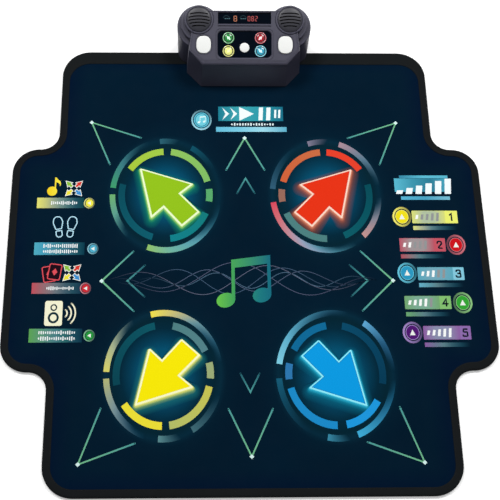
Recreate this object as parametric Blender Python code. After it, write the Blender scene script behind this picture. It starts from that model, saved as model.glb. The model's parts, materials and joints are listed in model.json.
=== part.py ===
# Dance mat controller: a printed foam mat with a control box fixed on its back edge.
# Metres, +Z up, +Y towards the control box, origin on the floor under the mat's centre.
import math

import bmesh
import bpy
from mathutils import Matrix, Vector

# Fits
FIT_GAP = 0.0003
LOOSE_GAP = 0.0005

# Mat outline
MAT_WIDTH = 0.900
MAT_DEPTH = 0.891
END_WIDTH = 0.728
LOBE_DEPTH = 0.447
END_CORNER_RADIUS = 0.055
LOBE_CORNER_RADIUS = 0.050
SHOULDER_RADIUS = 0.034
BORDER_WIDTH = 0.015
HEM_WIDTH = 0.029

# Mat layers
BINDING_THICKNESS = 0.0008
BASE_SHEET_THICKNESS = 0.0009
FILM_THICKNESS = 0.0003
FOAM_THICKNESS = 0.0034
TOP_SHEET_THICKNESS = 0.0008
FILM_MARGIN = 0.020

# Pads of the mat
PAD_TRAVEL = 0.0012
STEP_PAD_WIDTH = 0.216
STEP_PAD_DEPTH = 0.245
STEP_PAD_X = 0.1535
BACK_PAD_Y = 0.1255
FRONT_PAD_Y = -0.2295
START_PAD_WIDTH = 0.202
START_PAD_DEPTH = 0.074
START_PAD_X = -0.011
START_PAD_SETBACK = 0.1525
MODE_PAD_WIDTH = 0.128
MODE_PAD_INSET = 0.109
MODE_PAD_DEPTHS = (0.071, 0.090, 0.070, 0.086)
MODE_PAD_YS = (0.1275, 0.0404, -0.0460, -0.1306)
LEVEL_PAD_WIDTH = 0.1405
LEVEL_PAD_DEPTH = 0.052
LEVEL_PAD_INSET = 0.1079
LEVEL_PAD_BACK_Y = 0.0754
LEVEL_PAD_PITCH = 0.0578
LEVEL_PADS = 5
STEP_PAD_POWER = 2.0
BLOCK_PAD_POWER = 8.0
LEVEL_PAD_POWER = 6.0

# Control box: its tilted panel, with its places along Y counted from the mat's back edge
BOX_X = -0.003
PANEL_SETBACK = 0.0665
PANEL_FRONT_Z = 0.068
PANEL_TILT = 21.7
PANEL_FRONT_WIDTH = 0.166
PANEL_WIDTH = 0.218
PANEL_BACK_WIDTH = 0.210
PANEL_CHAMFER_DEPTH = 0.0255
PANEL_WAIST = 0.060
PANEL_DEPTH = 0.105
EDGE_ROUND = 0.004
SIDE_SHARE = 0.4
FRONT_LIP = 0.003
WALL = 0.0025

# Control box: its foot on the mat and its rear
FOOT_SETBACK = 0.0815
FOOT_FRONT_WIDTH = 0.170
FOOT_WIDTH = 0.226
FOOT_CHAMFER_DEPTH = 0.0315
FOOT_TAPER = 0.0015
FOOT_TAIL = 0.012
REAR_OVERHANG = 0.0485
REAR_WIDTH = 0.156
REAR_HEIGHT = 0.078
REAR_DROP = 0.008

# Speaker pods
POD_X = 0.089
POD_DEPTH_ON_PANEL = 0.0867
POD_RADIUS = 0.0425
POD_STEP = 0.0070
POD_STEP_HEIGHT = 0.0085
POD_STEP_SHIFT = 0.0051
POD_TOP_RISE = 0.0010
POD_FOOT_OVERHANG = 0.016
POD_FOOT_FRONT = 0.045
POD_FOOT_BACK = 0.0415
POD_FOOT_SIDE = 0.042
GRILLE_RADIUS = 0.0242
GRILLE_RISE = 0.0035
GRILLE_THICKNESS = 0.0022
GRILLE_SLOT = 0.0022
GRILLE_SLOT_PITCH = 0.0062
GRILLE_SLOTS = 5
GRILLE_SLOT_SHIFT = -0.0008
GRILLE_SLOT_FIELD = 0.0212
GRILLE_SLOT_TAPER = 0.003
GRILLE_FLANGE = 0.0020
SEAT_RADIUS = 0.0252
SEAT_WALL = 0.0016
SEAT_DEPTH = 0.0095
SPEAKER_DEPTH = 0.0175
SPEAKER_FRAME = 0.0035

# Panel fittings, as distances across and up the panel
WINDOW_WIDTH = 0.104
WINDOW_LOW = 0.079
WINDOW_HIGH = 0.1005
OVERLAY_WIDTH = 0.1046
OVERLAY_LOW = 0.0125
OVERLAY_HIGH = 0.0648
OVERLAY_CORNER = 0.009
SILL = 0.0055
COVER_LAP = 0.0026
WINDOW_LAP = 0.0008
PANE_THICKNESS = 0.0015
LIGHT_X = 0.0314
LIGHT_LOW = 0.0256
LIGHT_HIGH = 0.0515
LIGHT_RADIUS = 0.0111
LIGHT_FLANGE = 0.0013
CENTRE_KEY_UP = 0.0323
CENTRE_KEY_RADIUS = 0.0095
SIDE_KEY_X = 0.0799
SIDE_KEY_UP = 0.0377
SIDE_KEY_WIDTH = 0.0284
SIDE_KEY_DEPTH = 0.0340
KEY_FLANGE = 0.0012
KEY_FLANGE_THICKNESS = 0.0016
KEY_PROUD = 0.0016
KEY_TRAVEL = 0.0012
KEY_STEM_RADIUS = 0.004
SIDE_KEY_POWER = 2.5
SIDE_KEY_ROUND = 20

# Board and membrane under the panel
DOME_HEIGHT = 0.0017
DOME_RADIUS = 0.005
MEMBRANE_THICKNESS = 0.0010
BOARD_THICKNESS = 0.0016
BOARD_DROP = 0.0110
BOARD_FRONT = 0.010
BOARD_STEP = 0.056
BOARD_BACK = 0.098
BOARD_HALF_WIDTH = 0.094
BOARD_NECK_HALF_WIDTH = 0.056
BOARD_CORNER = 0.014
POST_RADIUS = 0.0027
POST_PIN_RADIUS = 0.0012
FRONT_POST = (0.0595, 0.0140)
BACK_POST = (0.0500, 0.0720)
MODULE_WIDTH = 0.088
TAIL_WIDTH = 0.022
TAIL_THICKNESS = 0.0005
TAIL_SETBACK = 0.0415
SOCKET_HEIGHT = 0.007

# Screws
SCREW_RADIUS = 0.0013
SCREW_HEAD_RADIUS = 0.0028
SCREW_HEAD_THICKNESS = 0.0012
SCREW_LENGTH = 0.0120
BOSS_RADIUS = 0.0036
BOSS_HEIGHT = 0.018
CASE_SCREW_FRONT_X = 0.1045
CASE_SCREW_FRONT_INSET = 0.040
CASE_SCREW_REAR_X = 0.0610
CASE_SCREW_REAR_INSET = 0.0095
HEM_SCREW_X = 0.050
HEM_SCREW_SETBACK = 0.0545
HEM_BAR_LENGTH = 0.140
HEM_BAR_WIDTH = 0.012

# Batteries, door, switch and socket on the rear wall
CELL_RADIUS = 0.00725
CELL_LENGTH = 0.0505
CELL_NUB_RADIUS = 0.00275
CELL_NUB_LENGTH = 0.0013
CELL_PITCH = 0.0149
CELLS = 3
TRAY_WALL = 0.0016
CONTACT_HALF = 0.0055
CONTACT_THICKNESS = 0.0005
CONTACT_BUMP = 0.0018
CONTACT_BUMP_RADIUS = 0.0030
DOOR_WIDTH = 0.050
DOOR_LOW = 0.0051
DOOR_HIGH = 0.0698
DOOR_THICKNESS = 0.0022
DOOR_SCREW_DROP = 0.0040
DOOR_SCREW_LENGTH = 0.0052
SWITCH_X = 0.048
SWITCH_Z = 0.040
SWITCH_HALF = 0.0064
SWITCH_DEPTH = 0.0050
SWITCH_TRAVEL = 0.0040
SWITCH_KNOB_WIDTH = 0.0045
SWITCH_KNOB_HEIGHT = 0.0034
SWITCH_PROUD = 0.0014
SOCKET_X = -0.048
SOCKET_Z = 0.040
JACK_RADIUS = 0.00178
JACK_BARREL_RADIUS = 0.0030
JACK_BLOCK_HALF = 0.0042
JACK_DEPTH = 0.014
JACK_FLOOR = 0.002

ROUND = 24
MEDIUM_ROUND = 16
SMALL_ROUND = 10
HIDDEN_ROUND = 12
FLAT_ANGLE = 0.05
WELD_DISTANCE = 0.00001
CUT_REACH = 0.01

# Heights of the mat's layers, from the floor up
base_step = BINDING_THICKNESS + FIT_GAP
base_top = base_step + BASE_SHEET_THICKNESS
lower_film_z = base_top + FIT_GAP
foam_z = lower_film_z + FILM_THICKNESS + FIT_GAP
foam_top = foam_z + FOAM_THICKNESS
upper_film_z = foam_top + FIT_GAP
top_sheet_z = upper_film_z + FILM_THICKNESS + FIT_GAP
mat_top = top_sheet_z + TOP_SHEET_THICKNESS
hem_top = mat_top + FIT_GAP + BINDING_THICKNESS
hem_screw_z = base_top + FIT_GAP
bar_z = hem_screw_z + SCREW_HEAD_THICKNESS + FIT_GAP
pocket_floor = upper_film_z - PAD_TRAVEL - FIT_GAP

# Places along Y, from the mat's back edge
mat_back_y = MAT_DEPTH / 2
hem_front_y = mat_back_y - HEM_WIDTH - LOOSE_GAP
panel_front_y = mat_back_y - PANEL_SETBACK
foot_front_y = mat_back_y - FOOT_SETBACK
rear_y = mat_back_y + REAR_OVERHANG
pod_foot_y = mat_back_y + POD_FOOT_OVERHANG
tail_y = mat_back_y - TAIL_SETBACK
hem_screw_y = mat_back_y - HEM_SCREW_SETBACK
film_back_y = hem_screw_y - HEM_BAR_WIDTH / 2 - FILM_MARGIN / 2
cut_front_y = foot_front_y - FILM_MARGIN
cut_half = MAT_WIDTH / 2

# The control box's lower case, from the mat up
base_low_z = mat_top + FIT_GAP
base_hem_z = hem_top + FIT_GAP
base_high_z = base_hem_z + WALL
base_step_y = mat_back_y + LOOSE_GAP

# The battery tray, from the lower case up
contact_stack = FIT_GAP + CONTACT_THICKNESS + CONTACT_BUMP + FIT_GAP
tray_low = WALL + FIT_GAP
tray_top = tray_low + CELL_LENGTH + 2 * contact_stack + 2 * TRAY_WALL

# Depths under the panel
pane_top = -(WALL + FIT_GAP)
pane_bottom = pane_top - PANE_THICKNESS
membrane_top = -BOARD_DROP + FIT_GAP + MEMBRANE_THICKNESS
dome_top = membrane_top + DOME_HEIGHT
stem_bottom = dome_top + KEY_TRAVEL + FIT_GAP
board_bottom = -BOARD_DROP - BOARD_THICKNESS

PANEL = (Matrix.Translation((BOX_X, panel_front_y, PANEL_FRONT_Z))
         @ Matrix.Rotation(math.radians(PANEL_TILT), 4, "X"))

FABRIC_BLACK = (0.012, 0.012, 0.011)
CASE_GREY = (0.060, 0.060, 0.078)
CASE_DARK = (0.010, 0.010, 0.013)
METAL = (0.55, 0.55, 0.56)
KEY_WHITE = (0.93, 0.95, 0.90)


# Outlines: lists of points in a plane, counter-clockwise

def arc(centre, radius, start, end, steps):
    """Points along a round arc, with its angles in degrees."""
    points = []
    for i in range(steps + 1):
        angle = math.radians(start + (end - start) * i / steps)
        points.append((centre[0] + radius * math.cos(angle), centre[1] + radius * math.sin(angle)))
    return points


def oval(x, y, half_width, half_depth, power=2.0, steps=ROUND):
    """A superellipse: an ellipse at power 2, squarer above it."""
    points = []
    for i in range(steps):
        c = math.cos(math.tau * i / steps)
        s = math.sin(math.tau * i / steps)
        points.append((x + half_width * math.copysign(abs(c) ** (2 / power), c),
                       y + half_depth * math.copysign(abs(s) ** (2 / power), s)))
    return points


def box_outline(x_low, x_high, y_low, y_high, corner=0.0, steps=3):
    """A rectangle, with round corners where a radius is given."""
    if corner == 0.0:
        return [(x_low, y_low), (x_high, y_low), (x_high, y_high), (x_low, y_high)]
    points = arc((x_low + corner, y_low + corner), corner, 180, 270, steps)
    points += arc((x_high - corner, y_low + corner), corner, 270, 360, steps)
    points += arc((x_high - corner, y_high - corner), corner, 0, 90, steps)
    points += arc((x_low + corner, y_high - corner), corner, 90, 180, steps)
    return points


def mat_outline(inset, hem_inset, fine=2):
    """The mat's outline, moved in by inset, and by hem_inset along the back."""
    end_x = END_WIDTH / 2 - inset
    lobe_x = MAT_WIDTH / 2 - inset
    lobe_y = LOBE_DEPTH / 2 - inset
    front_y = -MAT_DEPTH / 2 + inset
    back_y = MAT_DEPTH / 2 - hem_inset
    end_r = END_CORNER_RADIUS - inset
    lobe_r = LOBE_CORNER_RADIUS - inset
    shoulder_r = SHOULDER_RADIUS + inset
    right = arc((end_x - end_r, front_y + end_r), end_r, -90, 0, 3 * fine)
    right += arc((end_x + shoulder_r, -lobe_y - shoulder_r), shoulder_r, 180, 90, 2 * fine)
    right += arc((lobe_x - lobe_r, -lobe_y + lobe_r), lobe_r, -90, 0, 2 * fine)
    right += arc((lobe_x - lobe_r, lobe_y - lobe_r), lobe_r, 0, 90, 2 * fine)
    right += arc((end_x + shoulder_r, lobe_y + shoulder_r), shoulder_r, 270, 180, 2 * fine)
    right += arc((end_x - end_r, back_y - end_r), end_r, 0, 90, 3 * fine)
    return right + [(-x, y) for x, y in reversed(right)]


def pad_table():
    """Each pad's name with its centre, half sizes, squareness and number of points."""
    pads = {}
    for end, y in (("back", BACK_PAD_Y), ("front", FRONT_PAD_Y)):
        for side, x in (("left", BOX_X - STEP_PAD_X), ("right", BOX_X + STEP_PAD_X)):
            pads[f"step_pad_{end}_{side}"] = (x, y, STEP_PAD_WIDTH / 2, STEP_PAD_DEPTH / 2,
                                              STEP_PAD_POWER, ROUND)
    pads["start_pad"] = (START_PAD_X, mat_back_y - START_PAD_SETBACK, START_PAD_WIDTH / 2,
                         START_PAD_DEPTH / 2, BLOCK_PAD_POWER, MEDIUM_ROUND)
    for i, (y, depth) in enumerate(zip(MODE_PAD_YS, MODE_PAD_DEPTHS)):
        pads[f"mode_pad_{i + 1}"] = (-MAT_WIDTH / 2 + MODE_PAD_INSET, y, MODE_PAD_WIDTH / 2, depth / 2,
                                     BLOCK_PAD_POWER, MEDIUM_ROUND)
    for i in range(LEVEL_PADS):
        y = LEVEL_PAD_BACK_Y - LEVEL_PAD_PITCH * i
        pads[f"level_pad_{i + 1}"] = (MAT_WIDTH / 2 - LEVEL_PAD_INSET, y, LEVEL_PAD_WIDTH / 2,
                                      LEVEL_PAD_DEPTH / 2, LEVEL_PAD_POWER, MEDIUM_ROUND)
    return pads


def pad_outline(pad, grow=0.0):
    """A pad's edge, or the hole round it."""
    x, y, half_width, half_depth, power, steps = pad
    return oval(x, y, half_width + grow, half_depth + grow, power, steps)


def hidden_hole(pad):
    """A plainer hole that clears a pad in the layers under the printed sheet."""
    x, y, half_width, half_depth, power, _ = pad
    spread = 1 / math.cos(math.pi / HIDDEN_ROUND)
    return oval(x, y, half_width * spread + LOOSE_GAP, half_depth * spread + LOOSE_GAP, power, HIDDEN_ROUND)


# Solids: closed meshes made of rings of points

def flat_ring(outline, z):
    """An outline laid at one height."""
    return [Vector((x, y, z)) for x, y in outline]


def circle_ring(radius, z, steps=SMALL_ROUND):
    """A circle about the Z axis."""
    return flat_ring(oval(0, 0, radius, radius, 2.0, steps), z)


def add_walls(bm, lower, upper):
    """Faces between two rings with the same number of points."""
    for i in range(len(lower)):
        bm.faces.new((lower[i - 1], lower[i], upper[i], upper[i - 1]))


def loft(rings, closed=False):
    """A solid through rings, capped at both ends or closed on itself."""
    bm = bmesh.new()
    rows = [[bm.verts.new(point) for point in ring] for ring in rings]
    for lower, upper in zip(rows, rows[1:]):
        add_walls(bm, lower, upper)
    if closed:
        add_walls(bm, rows[-1], rows[0])
    else:
        bm.faces.new(rows[0])
        bm.faces.new(rows[-1])
    return finish(bm)


def fill_between(bm, loops):
    """Flat faces inside the first loop and outside the others."""
    edges = []
    for loop in loops:
        edges += [bm.edges.get((loop[i - 1], loop[i])) for i in range(len(loop))]
    bmesh.ops.triangle_fill(bm, use_beauty=True, edges=edges)


def plate(outline, z_low, z_high, holes=(), raised=(), raised_z=0.0):
    """A plate with holes through it, and areas of its top raised or sunk to raised_z."""
    bm = bmesh.new()

    def ring(loop, z):
        return [bm.verts.new((x, y, z)) for x, y in loop]

    bottoms = [ring(outline, z_low)]
    tops = [ring(outline, z_high)]
    for hole in holes:
        bottoms.append(ring(hole, z_low))
        tops.append(ring(hole, z_high))
    for lower, upper in zip(bottoms, tops):
        add_walls(bm, lower, upper)
    for area in raised:
        rim = ring(area, z_high)
        level = ring(area, raised_z)
        add_walls(bm, rim, level)
        bm.faces.new(level)
        tops.append(rim)
    fill_between(bm, bottoms)
    fill_between(bm, tops)
    return finish(bm)


def box(x_low, x_high, y_low, y_high, z_low, z_high):
    """A plain block."""
    return plate(box_outline(x_low, x_high, y_low, y_high), z_low, z_high)


def finish(bm):
    """The same mesh in flat triangles that point out."""
    bm.normal_update()
    bmesh.ops.triangulate(bm, faces=bm.faces)
    bmesh.ops.recalc_face_normals(bm, faces=bm.faces)
    if bm.calc_volume(signed=True) < 0:
        bmesh.ops.reverse_faces(bm, faces=bm.faces)
    return bm


def moved(bm, matrix):
    """The same mesh in another place."""
    bm.transform(matrix)
    return finish(bm)


def on_panel(bm):
    """A mesh drawn flat, placed on the tilted panel."""
    return moved(bm, PANEL)


def in_box(bm):
    """A mesh drawn about X = 0, placed at the control box."""
    return moved(bm, Matrix.Translation((BOX_X, 0, 0)))


def panel_ring(outline, depth):
    """An outline on the panel, depth above its face."""
    return [PANEL @ Vector((x, y, depth)) for x, y in outline]


# Objects

def make_material(name, colour, roughness, metallic=0.0):
    """One Principled surface."""
    material = bpy.data.materials.new(name)
    material.use_nodes = True
    surface = material.node_tree.nodes["Principled BSDF"]
    surface.inputs["Base Color"].default_value = (*colour, 1.0)
    surface.inputs["Roughness"].default_value = roughness
    surface.inputs["Metallic"].default_value = metallic
    return material


def add_object(name, bm, colour, roughness, metallic=0.0, origin=(0.0, 0.0, 0.0)):
    """A named sub-part with its own material and its origin at the given point."""
    bm.transform(Matrix.Translation(-Vector(origin)))
    mesh = bpy.data.meshes.new(name)
    bm.to_mesh(mesh)
    bm.free()
    mesh.shade_smooth()
    mesh.set_sharp_from_angle(angle=math.radians(30))
    mesh.materials.append(make_material(name, colour, roughness, metallic))
    obj = bpy.data.objects.new(name, mesh)
    obj.location = origin
    bpy.context.scene.collection.objects.link(obj)
    return obj


def combine(obj, operation, shapes):
    """A Boolean with a hidden group of shapes."""
    group = bpy.data.collections.new(f"{obj.name}_{operation.lower()}_{len(obj.modifiers)}")
    bpy.context.scene.collection.children.link(group)
    for number, bm in enumerate(shapes):
        mesh = bpy.data.meshes.new(f"{group.name}_{number}")
        bm.to_mesh(mesh)
        bm.free()
        tool = bpy.data.objects.new(mesh.name, mesh)
        tool.hide_render = True
        tool.display_type = "WIRE"
        group.objects.link(tool)
    modifier = obj.modifiers.new(group.name, "BOOLEAN")
    modifier.operation = operation
    modifier.solver = "EXACT"
    modifier.operand_type = "COLLECTION"
    modifier.collection = group
    weld = obj.modifiers.new(f"{group.name}_weld", "WELD")
    weld.merge_threshold = WELD_DISTANCE


def merge_flat_faces(obj):
    """Joins the coplanar triangles that the Booleans leave."""
    modifier = obj.modifiers.new("flat_faces", "DECIMATE")
    modifier.decimate_type = "DISSOLVE"
    modifier.angle_limit = math.radians(FLAT_ANGLE)


# The mat

def make_mat(pads):
    """The mat's layers, from the floor up."""
    bar_half = HEM_BAR_LENGTH / 2
    bar_low = hem_screw_y - HEM_BAR_WIDTH / 2
    bar_high = hem_screw_y + HEM_BAR_WIDTH / 2
    screw_xs = (BOX_X - HEM_SCREW_X, BOX_X + HEM_SCREW_X)
    web = BINDING_THICKNESS + FIT_GAP
    leg = BORDER_WIDTH + FIT_GAP
    hem_leg = HEM_WIDTH + FIT_GAP
    film_hem = mat_back_y - film_back_y
    pad_holes = [pad_outline(pad, FIT_GAP) for pad in pads.values()]
    hidden_holes = [hidden_hole(pad) for pad in pads.values()]

    base = loft([flat_ring(mat_outline(leg, hem_leg), 0.0),
                 flat_ring(mat_outline(leg, hem_leg), base_step),
                 flat_ring(mat_outline(web, web), base_step),
                 flat_ring(mat_outline(web, web), base_top)])
    add_object("base_sheet", base, (0.020, 0.020, 0.022), 0.85)

    lower_film = plate(mat_outline(FILM_MARGIN, film_hem, 1), lower_film_z, lower_film_z + FILM_THICKNESS)
    add_object("lower_contact_film", lower_film, (0.55, 0.58, 0.60), 0.35)

    bar_slot = box_outline(BOX_X - bar_half - LOOSE_GAP, BOX_X + bar_half + LOOSE_GAP,
                           bar_low - LOOSE_GAP, bar_high + LOOSE_GAP)
    foam = plate(mat_outline(web, web), foam_z, foam_top, [bar_slot], hidden_holes, pocket_floor)
    add_object("foam_layer", foam, (0.10, 0.10, 0.11), 0.95)

    upper_film = plate(mat_outline(FILM_MARGIN, film_hem, 1), upper_film_z, upper_film_z + FILM_THICKNESS,
                       hidden_holes)
    add_object("upper_contact_film", upper_film, (0.55, 0.58, 0.60), 0.35)

    shank_holes = [oval(x, hem_screw_y, SCREW_RADIUS + LOOSE_GAP, SCREW_RADIUS + LOOSE_GAP,
                        2.0, SMALL_ROUND) for x in screw_xs]
    tail_slot = box_outline(BOX_X - TAIL_WIDTH / 2 - LOOSE_GAP, BOX_X + TAIL_WIDTH / 2 + LOOSE_GAP,
                            tail_y - LOOSE_GAP, tail_y + TAIL_THICKNESS + LOOSE_GAP)
    top = plate(mat_outline(web, web), top_sheet_z, mat_top, pad_holes + shank_holes + [tail_slot])
    add_object("top_sheet", top, (0.001, 0.010, 0.027), 0.55)

    section = ((0.0, 0.0, 0.0), (0.0, 0.0, hem_top), (BORDER_WIDTH, HEM_WIDTH, hem_top),
               (BORDER_WIDTH, HEM_WIDTH, hem_top - BINDING_THICKNESS),
               (BINDING_THICKNESS, BINDING_THICKNESS, hem_top - BINDING_THICKNESS),
               (BINDING_THICKNESS, BINDING_THICKNESS, BINDING_THICKNESS),
               (BORDER_WIDTH, HEM_WIDTH, BINDING_THICKNESS), (BORDER_WIDTH, HEM_WIDTH, 0.0))
    binding = loft([flat_ring(mat_outline(inset, hem), z) for inset, hem, z in section], closed=True)
    add_object("edge_binding", binding, FABRIC_BLACK, 0.8)

    bar = plate(box_outline(BOX_X - bar_half, BOX_X + bar_half, bar_low, bar_high), bar_z, foam_top,
                shank_holes)
    add_object("hem_bar", bar, (0.03, 0.03, 0.03), 0.6)


def make_pads(pads):
    """The zones of the printed sheet that give under a foot, with the film under them."""
    for name, pad in pads.items():
        disc = plate(pad_outline(pad), upper_film_z, mat_top)
        add_object(name, disc, (0.002, 0.014, 0.036), 0.55, origin=(pad[0], pad[1], upper_film_z))


# The control box's case

def core_solid(inset):
    """The middle of the case, narrowing upwards to the tilted panel."""
    foot_half = FOOT_WIDTH / 2 - inset
    foot_front_half = FOOT_FRONT_WIDTH / 2 - inset / 2
    top_half = PANEL_WIDTH / 2 - inset
    front_half = PANEL_FRONT_WIDTH / 2 - inset / 2
    back_half = PANEL_BACK_WIDTH / 2 - inset
    floor_z = base_low_z - (0.0012 if inset == 0.0 else 0.0041)
    foot_back = foot_front_y + PANEL_DEPTH
    right = [(foot_front_half, foot_front_y + inset),
             (foot_half, foot_front_y + FOOT_CHAMFER_DEPTH + inset / 2), (foot_half, foot_back),
             (foot_half - FOOT_TAPER, foot_back + FOOT_TAIL)]
    foot = right + [(-x, y) for x, y in reversed(right)]

    def panel_outline(edge):
        side = edge * SIDE_SHARE
        half = [(front_half - side, inset + edge - FRONT_LIP),
                (top_half - side, PANEL_CHAMFER_DEPTH + inset / 2 + side / 2),
                (back_half - side, PANEL_WAIST), (back_half - side, PANEL_DEPTH - inset - side / 2)]
        return half + [(-x, y) for x, y in reversed(half)]

    rings = [in_place(flat_ring(foot, floor_z))]
    for share, drop in ((0.0, 1.0), (0.3, 0.36), (1.0, 0.0)):
        rings.append(panel_ring(panel_outline(share * EDGE_ROUND), -inset - drop * EDGE_ROUND))
    return loft(rings)


def in_place(points):
    """Points drawn about X = 0, moved to the control box."""
    return [Vector((point.x + BOX_X, point.y, point.z)) for point in points]


def rear_solid(inset):
    """The case behind the panel, down to the floor."""
    tilt = math.radians(PANEL_TILT)
    floor_z = -0.003 if inset == 0.0 else -0.005
    front_y = pod_foot_y - POD_FOOT_FRONT / 2 - (0.0 if inset == 0.0 else 0.004)
    shoulder_y = panel_front_y + PANEL_DEPTH * math.cos(tilt)
    drop = REAR_DROP + inset / math.cos(tilt)

    def panel_z(y):
        return PANEL_FRONT_Z + (y - panel_front_y) * math.tan(tilt)

    profile = [(front_y, floor_z), (rear_y - inset, floor_z), (rear_y - inset, REAR_HEIGHT - inset),
               (shoulder_y, panel_z(shoulder_y) - drop), (front_y, panel_z(front_y) - drop)]
    half = REAR_WIDTH / 2 + (0.0 if inset == 0.0 else 0.003)
    rings = [[Vector((BOX_X + x, y, z)) for y, z in profile] for x in (-half, half)]
    return loft(rings)


def pod_solid(side, inset):
    """One speaker pod: a foot under three discs, each smaller and further back than the one below."""
    foot = []
    for i in range(ROUND):
        angle = math.tau * i / ROUND
        c = math.cos(angle)
        s = math.sin(angle)
        power = 2.0 if s >= 0 else 3.2
        reach = (POD_FOOT_BACK if s >= 0 else POD_FOOT_FRONT) - inset
        foot.append((side * POD_X + (POD_FOOT_SIDE - inset) * math.copysign(abs(c) ** (2 / power), c),
                     pod_foot_y + reach * math.copysign(abs(s) ** (2 / power), s)))
    rings = [in_place(flat_ring(foot, -0.002 if inset == 0.0 else -0.004))]
    radius = POD_RADIUS - inset
    up = POD_DEPTH_ON_PANEL - 2 * POD_STEP_SHIFT
    depth = POD_TOP_RISE - 2 * POD_STEP_HEIGHT - inset
    for _ in range(3):
        rings.append(panel_ring(oval(side * POD_X, up, radius, radius), depth))
        radius -= POD_STEP
        up += POD_STEP_SHIFT
        if len(rings) < 6:
            rings.append(panel_ring(oval(side * POD_X, up, radius, radius), depth))
        depth += POD_STEP_HEIGHT
    return loft(rings)


def case_solids(inset):
    """The case's outer form, or the space inside its walls."""
    return [core_solid(inset), rear_solid(inset), pod_solid(-1, inset), pod_solid(1, inset)]


def panel_opening(outline, sill_outline):
    """A cut through the panel with a sloping sill."""
    rings = [panel_ring(outline, -WALL - 0.001), panel_ring(outline, -WALL + 0.0004)]
    rings.append(panel_ring(sill_outline, 0.0))
    rings.append(panel_ring(sill_outline, 0.004))
    return loft(rings)


def side_key_outline(side, grow):
    """The oval of a side key, grown for its flange or its hole."""
    return oval(side * SIDE_KEY_X, SIDE_KEY_UP, SIDE_KEY_WIDTH / 2 + grow, SIDE_KEY_DEPTH / 2 + grow,
                SIDE_KEY_POWER, SIDE_KEY_ROUND)


def overlay_outline(grow, lower=0.0):
    """The button overlay's visible rectangle, grown for its sill or its lap."""
    half = OVERLAY_WIDTH / 2 + grow
    return box_outline(-half, half, OVERLAY_LOW - grow - lower, OVERLAY_HIGH + grow, OVERLAY_CORNER)


def door_opening(grow):
    """The battery door's rectangle, grown for the hole round it."""
    half = DOOR_WIDTH / 2 + grow
    return box(BOX_X - half, BOX_X + half, rear_y - WALL - 0.002, rear_y + 0.004,
               DOOR_LOW - grow, DOOR_HIGH + grow)


def rear_rod(x, z, radius, y_low, y_high):
    """A round bar that runs along Y."""
    place = Matrix.Translation((BOX_X + x, y_low, z)) @ Matrix.Rotation(math.radians(-90), 4, "X")
    return moved(loft([circle_ring(radius, 0.0), circle_ring(radius, y_high - y_low)]), place)


def upright_rod(x, y, radius, z_low, z_high):
    """A round bar that runs along Z."""
    place = Matrix.Translation((BOX_X + x, y, z_low))
    return moved(loft([circle_ring(radius, 0.0), circle_ring(radius, z_high - z_low)]), place)


def case_screws():
    """Where the four case screws stand."""
    front = (CASE_SCREW_FRONT_X, foot_front_y + CASE_SCREW_FRONT_INSET)
    rear = (CASE_SCREW_REAR_X, rear_y - CASE_SCREW_REAR_INSET)
    return [(side * x, y) for x, y in (front, rear) for side in (-1, 1)]


def board_posts():
    """Where the posts that carry the board stand under the panel."""
    return [(side * x, y) for side in (-1, 1) for x, y in (FRONT_POST, BACK_POST)]


def post_solid(x, y):
    """A post under the panel, with a pin through the board."""
    rings = [panel_ring(oval(x, y, radius, radius, 2.0, SMALL_ROUND), depth)
             for radius, depth in ((POST_PIN_RADIUS, board_bottom - 0.001),
                                   (POST_PIN_RADIUS, -BOARD_DROP + FIT_GAP),
                                   (POST_RADIUS, -BOARD_DROP + FIT_GAP), (POST_RADIUS, -WALL + 0.0006))]
    return loft(rings)


def seat_ring(side):
    """The round wall under a pod's top that holds the grille and the driver."""
    outer = oval(side * POD_X, POD_DEPTH_ON_PANEL, SEAT_RADIUS + FIT_GAP + SEAT_WALL,
                 SEAT_RADIUS + FIT_GAP + SEAT_WALL)
    inner = oval(side * POD_X, POD_DEPTH_ON_PANEL, SEAT_RADIUS + FIT_GAP, SEAT_RADIUS + FIT_GAP)
    return on_panel(plate(outer, -SEAT_DEPTH, POD_TOP_RISE - WALL / 2, [inner]))


def cover_bosses():
    """Blocks on the case walls that take the case screws and the door's screw."""
    blocks = []
    for x, y in case_screws()[:2]:
        reach = FOOT_WIDTH / 2 - WALL
        low, high = sorted((math.copysign(abs(x) - BOSS_RADIUS, x), math.copysign(reach, x)))
        blocks.append(in_box(box(low, high, y - BOSS_RADIUS, y + BOSS_RADIUS,
                                 base_high_z + FIT_GAP, base_high_z + BOSS_HEIGHT)))
    for x, y in case_screws()[2:]:
        blocks.append(in_box(box(x - BOSS_RADIUS, x + BOSS_RADIUS, y - BOSS_RADIUS, rear_y - WALL / 2,
                                 WALL + FIT_GAP, WALL + BOSS_HEIGHT)))
    screw_z = DOOR_HIGH - DOOR_SCREW_DROP
    blocks.append(in_box(box(-BOSS_RADIUS, BOSS_RADIUS, rear_y - WALL - 0.008,
                             rear_y - DOOR_THICKNESS - FIT_GAP, tray_top + FIT_GAP,
                             screw_z + 2.5 * BOSS_RADIUS)))
    return blocks


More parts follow.
